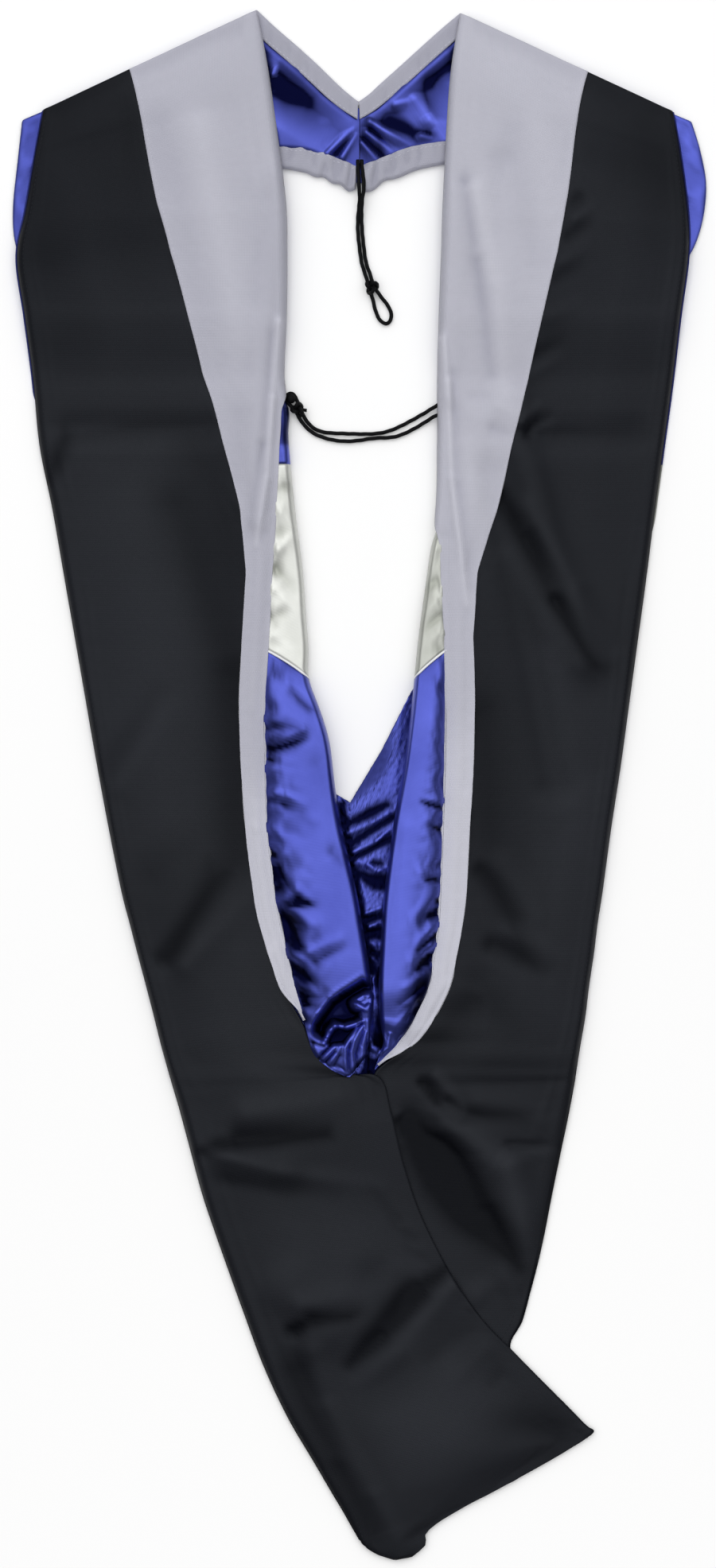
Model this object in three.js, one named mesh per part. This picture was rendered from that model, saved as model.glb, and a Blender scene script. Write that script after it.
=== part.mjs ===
// An academic hood lying flat, with the side that is worn at the back facing up.
// Millimetres. +Y runs from the tail to the shoulders, +X to the right and +Z up from the floor.
import * as THREE from 'three';

// Overall sizes
const hoodLength = 1067;
const hoodWidth = 477;

// Cloth walls, and the gap that is left where two cloths meet
const shellWall = 1.4;
const velvetWall = 1.8;
const liningWall = 1.0;
const pipingWidth = 1.6;
const layerGap = 0.3;
const seamGap = 0.9;

// Widths of the velvet trim, of the turned edges of the neckband and of the lining's tuck
const trimWidth = 92;
const upperFlap = 10;
const lowerFlap = 13;
const bandLiningInset = 4;
const foldTurn = 3;

// Heights that the cloth stands off the floor
const shellCrown = 8;
const velvetCrown = 12;
const velvetPuff = 3;
const rollHeight = 24;
const foldRise = 8;
const outerRise = 1.8;
const panelRipple = 2.4;
const panelFoldPitch = 6;
const panelOpenTop = 18;
const panelOpenLow = 4;

// Radii of the round edges
const outerRound = 6;
const foldRound = 9;

// Cords, their knots and the button
const cordDiameter = 2.8;
const knotRadius = 3.8;
const backKnotLength = 10.4;
const buttonRadius = 3.2;

// Sizes that follow from the ones above
const halfWidth = hoodWidth / 2;
const shellStep = shellWall + layerGap;
const liningStep = liningWall + layerGap;
const flapHeight = velvetWall + liningStep + layerGap + velvetWall / 2;
const bandStack = flapHeight + velvetWall / 2 + layerGap;
const flapTurn = (flapHeight - velvetWall / 2) / 2;

// Outline of the left half, from the shoulder to the tail. x is a share of the half width and
// y a share of the length, counted down from the peaks. o is the outer edge, i the inner edge of
// the velvet and f the fold of the rolled lining. trim is the velvet's width.
const leftPlan = [
  { o: [-0.908, 0.066], i: [-0.297, 0.002], f: [-0.297, 0.002], trim: 1.0 },
  { o: [-0.931, 0.094], i: [-0.261, 0.047], f: [-0.261, 0.047], trim: 0.95 },
  { o: [-0.959, 0.131], i: [-0.217, 0.121], f: [-0.217, 0.121], trim: 0.905 },
  { o: [-0.984, 0.161], i: [-0.211, 0.157], f: [-0.211, 0.157], trim: 0.815 },
  { o: [-0.961, 0.200], i: [-0.213, 0.200], f: [-0.213, 0.200], trim: 0.678 },
  { o: [-0.938, 0.241], i: [-0.221, 0.241], f: [-0.220, 0.241], trim: 0.538 },
  { o: [-0.920, 0.282], i: [-0.229, 0.282], f: [-0.206, 0.282], trim: 0.398 },
  { o: [-0.883, 0.323], i: [-0.240, 0.323], f: [-0.188, 0.323], trim: 0.25 },
  { o: [-0.851, 0.364], i: [-0.252, 0.364], f: [-0.165, 0.364], trim: 0.178 },
  { o: [-0.819, 0.405], i: [-0.261, 0.405], f: [-0.151, 0.405], trim: 0.185 },
  { o: [-0.787, 0.446], i: [-0.272, 0.446], f: [-0.124, 0.446], trim: 0.178 },
  { o: [-0.755, 0.487], i: [-0.270, 0.487], f: [-0.085, 0.487], trim: 0.17 },
  { o: [-0.721, 0.528], i: [-0.265, 0.528], f: [-0.053, 0.528], trim: 0.15 },
  { o: [-0.684, 0.569], i: [-0.245, 0.569], f: [-0.011, 0.569], trim: 0.143 },
  { o: [-0.661, 0.589], i: [-0.229, 0.589], f: [0.005, 0.589], trim: 0.143 },
  { o: [-0.638, 0.609], i: [-0.208, 0.609], f: [0.020, 0.609], trim: 0.13 },
  { o: [-0.613, 0.630], i: [-0.188, 0.630], f: [0.033, 0.629], trim: 0.095 },
  { o: [-0.590, 0.650], i: [-0.156, 0.654], f: [0.038, 0.639], trim: 0.02 },
  { o: [-0.570, 0.668], i: [-0.130, 0.673], f: [0.036, 0.650], trim: 0 },
  { o: [-0.554, 0.681], i: [-0.087, 0.682], f: [0.030, 0.661], trim: 0 },
  { o: [-0.540, 0.692], i: [-0.027, 0.687], f: [0.024, 0.671], trim: 0 },
  { o: [-0.519, 0.708], i: [0.059, 0.689], f: [0.059, 0.689], trim: 0 },
  { o: [-0.490, 0.732], i: [0.092, 0.712], f: [0.092, 0.712], trim: 0 },
  { o: [-0.453, 0.763], i: [0.128, 0.745], f: [0.128, 0.745], trim: 0 },
  { o: [-0.416, 0.788], i: [0.178, 0.778], f: [0.178, 0.778], trim: 0 },
  { o: [-0.375, 0.814], i: [0.259, 0.814], f: [0.259, 0.814], trim: 0 },
  { o: [-0.330, 0.842], i: [0.350, 0.844], f: [0.350, 0.844], trim: 0 },
  { o: [-0.275, 0.875], i: [0.453, 0.868], f: [0.453, 0.868], trim: 0 },
  { o: [-0.206, 0.908], i: [0.568, 0.894], f: [0.568, 0.894], trim: 0 },
  { o: [-0.130, 0.937], i: [0.652, 0.913], f: [0.652, 0.913], trim: 0 },
  { o: [-0.078, 0.957], i: [0.673, 0.918], f: [0.673, 0.918], trim: 0 },
  { o: [-0.046, 0.969], i: [0.602, 0.929], f: [0.602, 0.929], trim: 0 },
  { o: [-0.021, 0.979], i: [0.453, 0.948], f: [0.453, 0.948], trim: 0 },
  { o: [0.000, 0.987], i: [0.293, 0.967], f: [0.293, 0.967], trim: 0 },
  { o: [0.025, 0.993], i: [0.197, 0.981], f: [0.197, 0.981], trim: 0 },
  { o: [0.057, 0.997], i: [0.188, 0.991], f: [0.188, 0.991], trim: 0 },
  { o: [0.098, 1.000], i: [0.151, 0.998], f: [0.151, 0.998], trim: 0 },
];

// Outline of the right half. Below the opening it passes under the left half, so there i is the
// hidden end of the cloth and cover the share of the width at which the left half covers it.
const rightPlan = [
  { o: [0.899, 0.067], i: [0.291, 0.004], f: [0.291, 0.004], trim: 1.0, cover: 1 },
  { o: [0.922, 0.096], i: [0.261, 0.050], f: [0.261, 0.050], trim: 0.94, cover: 1 },
  { o: [0.943, 0.134], i: [0.243, 0.123], f: [0.243, 0.123], trim: 0.86, cover: 1 },
  { o: [0.943, 0.161], i: [0.238, 0.157], f: [0.238, 0.157], trim: 0.81, cover: 1 },
  { o: [0.920, 0.200], i: [0.231, 0.200], f: [0.231, 0.200], trim: 0.715, cover: 1 },
  { o: [0.899, 0.241], i: [0.227, 0.241], f: [0.227, 0.241], trim: 0.62, cover: 1 },
  { o: [0.874, 0.282], i: [0.229, 0.282], f: [0.227, 0.282], trim: 0.5, cover: 1 },
  { o: [0.849, 0.323], i: [0.227, 0.323], f: [0.222, 0.323], trim: 0.405, cover: 1 },
  { o: [0.826, 0.364], i: [0.233, 0.364], f: [0.197, 0.364], trim: 0.256, cover: 1 },
  { o: [0.801, 0.405], i: [0.243, 0.405], f: [0.172, 0.405], trim: 0.2, cover: 1 },
  { o: [0.776, 0.446], i: [0.245, 0.446], f: [0.153, 0.446], trim: 0.208, cover: 1 },
  { o: [0.751, 0.487], i: [0.243, 0.487], f: [0.130, 0.487], trim: 0.205, cover: 1 },
  { o: [0.723, 0.528], i: [0.238, 0.528], f: [0.098, 0.528], trim: 0.19, cover: 1 },
  { o: [0.698, 0.569], i: [0.231, 0.569], f: [0.073, 0.569], trim: 0.185, cover: 1 },
  { o: [0.684, 0.589], i: [0.227, 0.589], f: [0.066, 0.589], trim: 0.167, cover: 1 },
  { o: [0.673, 0.609], i: [0.215, 0.609], f: [0.061, 0.609], trim: 0.155, cover: 1 },
  { o: [0.659, 0.630], i: [0.199, 0.630], f: [0.057, 0.630], trim: 0.143, cover: 1 },
  { o: [0.648, 0.650], i: [0.160, 0.650], f: [0.060, 0.648], trim: 0.131, cover: 1 },
  { o: [0.632, 0.671], i: [0.110, 0.667], f: [0.064, 0.658], trim: 0.107, cover: 1 },
  { o: [0.622, 0.686], i: [0.041, 0.684], f: [0.069, 0.669], trim: 0.02, cover: 0.96 },
  { o: [0.618, 0.692], i: [0.023, 0.697], f: [0.023, 0.697], trim: 0, cover: 0.92 },
  { o: [0.600, 0.714], i: [-0.119, 0.722], f: [-0.119, 0.722], trim: 0, cover: 0.62 },
  { o: [0.579, 0.737], i: [-0.279, 0.745], f: [-0.279, 0.745], trim: 0, cover: 0.43 },
  { o: [0.551, 0.768], i: [-0.405, 0.773], f: [-0.405, 0.773], trim: 0, cover: 0.3 },
  { o: [0.531, 0.791], i: [-0.384, 0.793], f: [-0.384, 0.793], trim: 0, cover: 0.24 },
  { o: [0.508, 0.814], i: [-0.352, 0.816], f: [-0.352, 0.816], trim: 0, cover: 0.18 },
  { o: [0.471, 0.845], i: [-0.307, 0.846], f: [-0.307, 0.846], trim: 0, cover: 0.05 },
  { o: [0.437, 0.866], i: [-0.265, 0.871], f: [-0.265, 0.871], trim: 0, cover: 0.02 },
  { o: [0.545, 0.894], i: [-0.195, 0.907], f: [-0.195, 0.907], trim: 0, cover: 0.02 },
  { o: [0.632, 0.914], i: [-0.119, 0.936], f: [-0.119, 0.936], trim: 0, cover: 0.02 },
  { o: [0.650, 0.918], i: [-0.066, 0.956], f: [-0.066, 0.956], trim: 0, cover: 0.02 },
  { o: [0.581, 0.928], i: [-0.034, 0.967], f: [-0.034, 0.967], trim: 0, cover: 0.02 },
  { o: [0.442, 0.946], i: [-0.009, 0.977], f: [-0.009, 0.977], trim: 0, cover: 0.02 },
  { o: [0.284, 0.965], i: [0.011, 0.985], f: [0.011, 0.985], trim: 0, cover: 0.02 },
  { o: [0.185, 0.978], i: [0.034, 0.990], f: [0.034, 0.990], trim: 0, cover: 0.02 },
  { o: [0.176, 0.989], i: [0.064, 0.994], f: [0.064, 0.994], trim: 0, cover: 0.02 },
  { o: [0.142, 0.995], i: [0.101, 0.997], f: [0.101, 0.997], trim: 0, cover: 0.02 },
];

// How the cloth stands at some rows of the outline, as shares of the named heights. lift counts
// the yoke and neckband below, under the shells below and panel the centre panel below.
const leftRise = [
  { at: 0, edge: 0.3, crown: 0.15, seam: 0.1, puff: 0.2, roll: 0.12, fold: 0.15, lift: 1, under: 0, panel: 0 },
  { at: 1, edge: 0.8, crown: 0.7, seam: 0.5, puff: 0.8, roll: 0.3, fold: 0.35, lift: 1, under: 0, panel: 0 },
  { at: 2.3, edge: 1, crown: 1, seam: 0.75, puff: 1, roll: 0.4, fold: 0.5, lift: 1, under: 0, panel: 0 },
  { at: 3.9, edge: 1, crown: 1, seam: 0.8, puff: 1, roll: 0.42, fold: 0.5, lift: 0.8, under: 0, panel: 0 },
  { at: 5, edge: 1, crown: 1, seam: 0.8, puff: 1, roll: 0.42, fold: 0.5, lift: 0, under: 0, panel: 0 },
  { at: 9, edge: 1, crown: 1, seam: 0.8, puff: 0.6, roll: 0.5, fold: 0.5, lift: 0, under: 0, panel: 0 },
  { at: 10.5, edge: 1, crown: 1, seam: 0.8, puff: 0.5, roll: 0.9, fold: 0.9, lift: 0, under: 0, panel: 1 },
  { at: 15, edge: 1, crown: 1, seam: 0.8, puff: 0.4, roll: 1, fold: 1, lift: 0, under: 0, panel: 1 },
  { at: 17, edge: 1, crown: 1, seam: 0.75, puff: 0, roll: 0.9, fold: 0.8, lift: 0, under: 0, panel: 1 },
  { at: 18.5, edge: 1, crown: 0.9, seam: 0.5, puff: 0, roll: 0.7, fold: 0.6, lift: 0, under: 0.3, panel: 1 },
  { at: 20, edge: 1, crown: 0.7, seam: 0.1, puff: 0, roll: 0.35, fold: 0.3, lift: 0, under: 1.3, panel: 1 },
  { at: 21, edge: 1, crown: 0.6, seam: 0, puff: 0, roll: 0, fold: 0, lift: 0, under: 3.0, panel: 0 },
  { at: 22, edge: 1, crown: 0.7, seam: 0, puff: 0, roll: 0.3, fold: 0.3, lift: 0, under: 2.8, panel: 0 },
  { at: 24, edge: 1, crown: 0.8, seam: 0, puff: 0, roll: 0, fold: 0, lift: 0, under: 1.2, panel: 0 },
  { at: 29, edge: 0.9, crown: 0.7, seam: 0, puff: 0, roll: 0, fold: 0, lift: 0, under: 1.2, panel: 0 },
  { at: 33, edge: 0.7, crown: 0.3, seam: 0, puff: 0, roll: 0, fold: 0, lift: 0, under: 1.2, panel: 0 },
  { at: 36, edge: 0.6, crown: 0.1, seam: 0, puff: 0, roll: 0, fold: 0, lift: 0, under: 1.2, panel: 0 },
];
const rightRise = [
  { at: 0, edge: 0.3, crown: 0.15, seam: 0.1, puff: 0.2, roll: 0.12, fold: 0.15, lift: 1, under: 0, panel: 0 },
  { at: 1, edge: 0.8, crown: 0.7, seam: 0.5, puff: 0.8, roll: 0.3, fold: 0.35, lift: 1, under: 0, panel: 0 },
  { at: 2.3, edge: 1, crown: 1, seam: 0.75, puff: 1, roll: 0.4, fold: 0.5, lift: 1, under: 0, panel: 0 },
  { at: 3.9, edge: 1, crown: 1, seam: 0.8, puff: 1, roll: 0.42, fold: 0.5, lift: 0.8, under: 0, panel: 0 },
  { at: 5, edge: 1, crown: 1, seam: 0.8, puff: 1, roll: 0.42, fold: 0.5, lift: 0, under: 0, panel: 0 },
  { at: 7.6, edge: 1, crown: 1, seam: 0.8, puff: 0.8, roll: 0.46, fold: 0.5, lift: 0, under: 0, panel: 0 },
  { at: 9, edge: 1, crown: 1, seam: 0.8, puff: 0.6, roll: 0.6, fold: 0.6, lift: 0, under: 0, panel: 1 },
  { at: 10.5, edge: 1, crown: 1, seam: 0.8, puff: 0.5, roll: 0.9, fold: 0.9, lift: 0, under: 0, panel: 1 },
  { at: 16, edge: 1, crown: 1, seam: 0.75, puff: 0.4, roll: 1, fold: 0.9, lift: 0, under: 0, panel: 1 },
  { at: 17.2, edge: 1, crown: 1, seam: 0.6, puff: 0.3, roll: 0.75, fold: 0.7, lift: 0, under: 0, panel: 1 },
  { at: 18.2, edge: 1, crown: 1, seam: 0.3, puff: 0.1, roll: 0.5, fold: 0.5, lift: 0, under: 0, panel: 1 },
  { at: 19, edge: 1, crown: 0.8, seam: 0.02, puff: 0, roll: 0.25, fold: 0.3, lift: 0, under: 0.1, panel: 1 },
  { at: 20, edge: 1, crown: 0.6, seam: 0, puff: 0, roll: 0, fold: 0, lift: 0, under: 1.6, panel: 0 },
  { at: 21, edge: 1, crown: 0.6, seam: 0, puff: 0, roll: 0, fold: 0, lift: 0, under: 1.0, panel: 0 },
  { at: 22, edge: 0.8, crown: 0.6, seam: 0, puff: 0, roll: 0, fold: 0, lift: 0, under: 0.4, panel: 0 },
  { at: 23, edge: 0.5, crown: 0.6, seam: 0, puff: 0, roll: 0, fold: 0, lift: 0, under: 0, panel: 0 },
  { at: 26, edge: 0.2, crown: 0.1, seam: 0, puff: 0, roll: 0, fold: 0, lift: 0, under: 0, panel: 0 },
  { at: 27, edge: 0, crown: 0, seam: 0, puff: 0, roll: 0, fold: 0, lift: 0, under: 0, panel: 0 },
  { at: 36, edge: 0, crown: 0, seam: 0, puff: 0, roll: 0, fold: 0, lift: 0, under: 0, panel: 0 },
];

// Main folds of the upper cloth: ends in shares of the half width and the length, then the
// height and the half breadth in millimetres.
const folds = [
  { from: [-0.240, 0.105], to: [-0.300, 0.330], height: 2.5, breadth: 7 },
  { from: [0.285, 0.120], to: [0.255, 0.250], height: 2.5, breadth: 8 },
  { from: [0.400, 0.100], to: [0.350, 0.250], height: -2.0, breadth: 10 },
  { from: [0.430, 0.255], to: [0.650, 0.420], height: 3.0, breadth: 12 },
  { from: [0.380, 0.300], to: [0.560, 0.500], height: -2.2, breadth: 12 },
  { from: [-0.900, 0.272], to: [-0.450, 0.272], height: -2.0, breadth: 10 },
  { from: [0.480, 0.275], to: [0.860, 0.275], height: -2.0, breadth: 10 },
  { from: [-0.400, 0.742], to: [-0.230, 0.748], height: 2.5, breadth: 14 },
  { from: [-0.210, 0.825], to: [-0.100, 0.850], height: 3.0, breadth: 18 },
  { from: [0.050, 0.820], to: [0.230, 0.858], height: -2.0, breadth: 16 },
  { from: [-0.235, 0.460], to: [-0.070, 0.620], height: 3.0, breadth: 7 },
  { from: [-0.160, 0.500], to: [-0.030, 0.600], height: -3.0, breadth: 6 },
  { from: [0.205, 0.460], to: [0.120, 0.640], height: 3.0, breadth: 7 },
  { from: [0.180, 0.520], to: [0.095, 0.620], height: -2.5, breadth: 6 },
];

// Outlines of the front yoke, of the two halves of the neckband and of the centre panel
const leftYoke = [
  { a: [-0.973, 0.072], b: [-0.645, 0.041] },
  { a: [-0.986, 0.098], b: [-0.610, 0.062] },
  { a: [-1.000, 0.129], b: [-0.560, 0.084] },
  { a: [-0.993, 0.152], b: [-0.510, 0.101] },
  { a: [-0.957, 0.172], b: [-0.470, 0.110] },
  { a: [-0.874, 0.186], b: [-0.440, 0.116] },
];
const rightYoke = [
  { a: [0.957, 0.073], b: [0.635, 0.043] },
  { a: [0.984, 0.093], b: [0.598, 0.064] },
  { a: [1.000, 0.116], b: [0.556, 0.086] },
  { a: [0.984, 0.142], b: [0.505, 0.102] },
  { a: [0.943, 0.162], b: [0.465, 0.111] },
  { a: [0.860, 0.177], b: [0.435, 0.117] },
];
const leftBand = [
  { a: [-0.297, 0.002], b: [-0.638, 0.041] },
  { a: [-0.245, 0.013], b: [-0.540, 0.073] },
  { a: [-0.183, 0.025], b: [-0.425, 0.098] },
  { a: [-0.124, 0.037], b: [-0.307, 0.101] },
  { a: [-0.069, 0.049], b: [-0.183, 0.104] },
  { a: [-0.034, 0.056], b: [-0.085, 0.111] },
  { a: [-0.009, 0.060], b: [-0.013, 0.117] },
];
const rightBand = [
  { a: [0.291, 0.004], b: [0.628, 0.043] },
  { a: [0.238, 0.014], b: [0.530, 0.075] },
  { a: [0.178, 0.026], b: [0.420, 0.098] },
  { a: [0.119, 0.038], b: [0.304, 0.098] },
  { a: [0.064, 0.049], b: [0.178, 0.103] },
  { a: [0.030, 0.056], b: [0.082, 0.111] },
  { a: [-0.001, 0.061], b: [0.007, 0.117] },
];
const centrePanel = [
  { a: [-0.114, 0.494], b: [-0.045, 0.690] },
  { a: [-0.071, 0.506], b: [-0.010, 0.691] },
  { a: [-0.027, 0.512], b: [0.025, 0.691] },
  { a: [0.064, 0.478], b: [0.055, 0.690] },
  { a: [0.150, 0.440], b: [0.080, 0.684] },
  { a: [0.205, 0.424], b: [0.105, 0.670] },
];

// Routes of the cords, from above: places in millimetres from the middle of the hood
const frontLeftRoute = [
  [-1.9, 425.5, 0.8], [-1.9, 419, 1], [-1.9, 409, 1], [-2.0, 402, 0.7], [-2.4, 392, 0.1], [-2.9, 381, 0],
  [-2.4, 370, 0], [-0.8, 358, 0], [1.2, 351.5, 0.1],
];
const frontRightRoute = [
  [1.9, 425.5, 0.8], [1.9, 419, 1], [1.9, 409, 1], [1.8, 402, 0.7], [1.4, 392, 0.1], [0.9, 381, 0],
  [1.8, 370, 0], [5.0, 358, 0], [8.6, 351, 0.1],
];
const frontLoopRoute = [
  [9.2, 333.0, 0.1], [10.4, 327.3, 0], [13.4, 319.4, 0], [18.4, 316.1, 0], [22.1, 320.2, 0],
  [20.7, 327.3, 0], [15.9, 333.6, 0.1],
];
const backUpperRoute = [
  [-36.6, 249.6, 0.2], [-31.0, 244.0, 0], [-22.9, 241.4, 0], [-7.6, 240.9, 0], [6.0, 240.6, 0],
  [18.0, 242.2, 0], [28.9, 246.4, 0], [42.5, 253.4, 0], [52.4, 259.7, 0.5],
];
const backLowerRoute = [
  [-42.8, 248.6, 0.2], [-38.2, 242.6, 0], [-32.0, 238.6, 0], [-24.5, 236.2, 0], [-16.4, 235.1, 0],
  [-7.6, 234.6, 0], [1.6, 235.2, 0], [9.8, 236.2, 0], [18.0, 236.6, 0], [25.1, 237.3, 0],
  [32.7, 240.0, 0], [42.5, 245.5, 0], [52.4, 252.0, 0.5],
];
const frontKnotPlace = [8.2, 341.6];
const backKnotPlace = [-42.5, 257.4];
const backKnotTurn = [-0.53, 0.85];

// Where the satin changes along the rows of the outline
const chevronTop = 6.3;
const chevronEnd = 9.2;
const chevronSlope = 0.45;
const rowLength = hoodLength * 0.041;

// Fineness of the surfaces
const shellAcross = 7;
const trimAcross = 4;
const rollAcross = 6;
const underAcross = 5;
const lastTubeRow = { left: 20, right: 19 };
const lastTrimRow = { left: 16.6, right: 18.2 };

const colours = {
  shell: { color: 0x202226, roughness: 0.75, metalness: 0 },
  velvet: { color: 0xb6b7c6, roughness: 0.95, metalness: 0 },
  blue: { color: 0x464bc8, roughness: 0.35, metalness: 0 },
  silver: { color: 0xcdd0cb, roughness: 0.35, metalness: 0 },
  piping: { color: 0xf2f2f4, roughness: 0.4, metalness: 0 },
  cord: { color: 0x0c0c0e, roughness: 0.8, metalness: 0 },
};

const clamp = (value, low, high) => Math.min(high, Math.max(low, value));
const mix = (a, b, u) => a + (b - a) * u;
const ease = (u) => u * u * (3 - 2 * u);
const place = (share) => new THREE.Vector2(share[0] * halfWidth, (0.5 - share[1]) * hoodLength);

// Smooth course of a number between the rows of a table
function smooth(p0, p1, p2, p3, u) {
  const a = 2 * p1;
  const b = p2 - p0;
  const c = 2 * p0 - 5 * p1 + 4 * p2 - p3;
  const d = 3 * p1 - p0 - 3 * p2 + p3;
  return 0.5 * (a + b * u + c * u * u + d * u * u * u);
}

// A point of an outline table between its rows
function outlinePoint(rows, column, v) {
  const last = rows.length - 1;
  const k = clamp(Math.floor(v), 0, last - 1);
  const near = [k - 1, k, k + 1, k + 2].map((n) => rows[clamp(n, 0, last)][column]);
  const along = (axis) => smooth(near[0][axis], near[1][axis], near[2][axis], near[3][axis], v - k);
  return place([along(0), along(1)]);
}

// A plain number of a table between its rows, in a straight line
function rowNumber(rows, column, v, plain) {
  const k = clamp(Math.floor(v), 0, rows.length - 2);
  return mix(rows[k][column] ?? plain, rows[k + 1][column] ?? plain, v - k);
}

// How the cloth stands at a place along the rows
function riseAt(table, v) {
  let k = 0;
  while (k < table.length - 2 && v > table[k + 1].at) k += 1;
  const u = ease(clamp((v - table[k].at) / (table[k + 1].at - table[k].at), 0, 1));
  const names = Object.keys(table[k]);
  return Object.fromEntries(names.map((name) => [name, mix(table[k][name], table[k + 1][name], u)]));
}

// Height through a few knots along a path, eased between them
function knotHeight(knots, t) {
  let k = 0;
  while (k < knots.length - 2 && t > knots[k + 1][0]) k += 1;
  const span = Math.max(knots[k + 1][0] - knots[k][0], 1e-6);
  return mix(knots[k][1], knots[k + 1][1], ease(clamp((t - knots[k][0]) / span, 0, 1)));
}

// What the folds add to the height above a place
function foldHeight(point) {
  let sum = 0;
  for (const fold of folds) {
    const start = place(fold.from);
    const run = place(fold.to).sub(start);
    const along = clamp(point.clone().sub(start).dot(run) / run.lengthSq(), 0, 1);
    const away = point.distanceTo(start.addScaledVector(run, along)) / fold.breadth;
    sum += fold.height * Math.exp(-away * away);
  }
  return sum;
}

const quarterRound = (distance, radius) => {
  const short = 1 - clamp(distance / radius, 0, 1);
  return Math.sqrt(Math.max(0, 1 - short * short));
};

// One cross-section of a half: its measures in plan and functions for its two sides
function crossSection(half, v) {
  const outer = outlinePoint(half.plan, 'o', v);
  const fold = outlinePoint(half.plan, 'f', v);
  const inner = outlinePoint(half.plan, 'i', v);
  const isTube = 1 - clamp(v - half.lastTube, 0, 1);
  const shown = inner.distanceTo(fold);
  const tuck = Math.hypot(shown, foldTurn * isTube) - shown;
  inner.addScaledVector(outer.clone().sub(fold).normalize(), tuck);
  const toInner = outer.distanceTo(inner);
  const toFold = toInner + inner.distanceTo(fold);
  const trim = trimWidth * rowNumber(half.plan, 'trim', v, 0);
  const seam = toInner - trim;
  const cover = seam * rowNumber(half.plan, 'cover', v, 1);
  const rise = riseAt(half.rise, v);
  const level = rise.under * shellStep;
  const panel = rise.panel * liningStep;
  const within = isTube * liningStep + panel;
  const seamHeight = within + shellWall / 2 + rise.seam * velvetCrown;
  const knots = [
    [0, within + shellWall / 2 + rise.crown * shellCrown * 0.6],
    [cover / 2, within + shellWall / 2 + rise.crown * shellCrown],
    [cover, seamHeight],
    [Math.max(seam, cover + 1e-4), seamHeight],
    [seam + trim / 2 + 2e-4, seamHeight + rise.puff * velvetPuff],
    [toInner + 4e-4, seamHeight],
    [(toInner + toFold) / 2 + 6e-4, Math.max(seamHeight, rise.roll * rollHeight)],
    [toFold + 8e-4, rise.roll * rollHeight * 0.85],
  ];
  const outerEdge = shellWall / 2 + rise.edge * outerRise;
  const foldEdge = liningWall / 2 + rise.fold * foldRise + panel;
  const flat = outer.distanceTo(fold);
  const lift = rise.lift * bandStack;
  const shape = (plan, t, side) => {
    const away = side === 'top' ? toFold - t : flat - t;
    const round = quarterRound(t, outerRound) * mix(1, quarterRound(away, foldRound), isTube);
    const edge = mix(outerEdge, foldEdge, t / (t + away + 1e-6));
    const nearFold = ease(clamp(1 - (away - 30) / 25, 0, 1));
    const under = liningWall / 2 + panel * nearFold;
    const fade = ease(clamp(t / 25, 0, 1)) * ease(clamp(rise.crown * 2, 0, 1));
    const top = level + knotHeight(knots, t) + foldHeight(plan) * fade;
    return new THREE.Vector3(plan.x, plan.y, lift + mix(edge, side === 'top' ? top : under, round));
  };
  const topAt = (t) => {
    const plan = t < toInner
      ? outer.clone().lerp(inner, t / toInner)
      : inner.clone().lerp(fold, clamp((t - toInner) / Math.max(toFold - toInner, 1e-6), 0, 1));
    return shape(plan, t, 'top');
  };
  const underAt = (t) => shape(outer.clone().lerp(fold, t / flat), t, 'under');
  return { seam, toInner, toFold, flat, topAt, underAt };
}

// A closed body around a middle surface. surface(v, a) gives its points, from(a) and to(a) the
// span of v, and stations the shares of that span.
function cloth(surface, from, to, stations, across, wall) {
  const eps = 1e-3;
  const at = (s, a) => surface(mix(from(a), to(a), s), a);
  const front = [];
  const back = [];
  for (const s of stations) {
    for (let j = 0; j <= across; j += 1) {
      const a = j / across;
      const along = at(Math.min(1, s + eps), a).sub(at(Math.max(0, s - eps), a));
      const side = at(s, Math.min(1, a + eps)).sub(at(s, Math.max(0, a - eps)));
      const normal = along.cross(side).normalize().multiplyScalar(wall / 2);
      const middle = at(s, a);
      front.push(middle.clone().add(normal));
      back.push(middle.clone().sub(normal));
    }
  }
  const points = [...front, ...back];
  for (const point of points) point.z = Math.max(0, point.z);
  const positions = points.flatMap((point) => [point.x, point.y, point.z]);
  const width = across + 1;
  const rows = stations.length;
  const under = rows * width;
  const faces = [];
  const quad = (a, b, c, d) => faces.push(a, b, c, a, c, d);
  for (let i = 0; i < rows - 1; i += 1) {
    for (let j = 0; j < across; j += 1) {
      const k = i * width + j;
      quad(k, k + width, k + width + 1, k + 1);
      quad(under + k, under + k + 1, under + k + width + 1, under + k + width);
    }
    const left = i * width;
    const right = left + across;
    quad(left, under + left, under + left + width, left + width);
    quad(right, right + width, under + right + width, under + right);
  }
  for (let j = 0; j < across; j += 1) {
    const end = (rows - 1) * width + j;
    quad(j, j + 1, under + j + 1, under + j);
    quad(end, under + end, under + end + 1, end + 1);
  }
  const geometry = new THREE.BufferGeometry();
  geometry.setAttribute('position', new THREE.Float32BufferAttribute(positions, 3));
  geometry.setIndex(signedVolume(positions, faces) < 0 ? turned(faces) : faces);
  geometry.computeVertexNormals();
  return geometry;
}

function signedVolume(positions, faces) {
  const corner = (n) => new THREE.Vector3().fromArray(positions, faces[n] * 3);
  let sum = 0;
  for (let n = 0; n < faces.length; n += 3) sum += corner(n).dot(corner(n + 1).cross(corner(n + 2)));
  return sum / 6;
}

function turned(faces) {
  const out = [];
  for (let n = 0; n < faces.length; n += 3) out.push(faces[n], faces[n + 2], faces[n + 1]);
  return out;
}

// Shares of a span of rows, about one step apart
function stationsBetween(from, to, step) {
  const count = Math.max(1, Math.round((to - from) / step));
  return Array.from({ length: count + 1 }, (_, k) => k / count);
}

const hood = new THREE.Group();
const cords = [];

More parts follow.
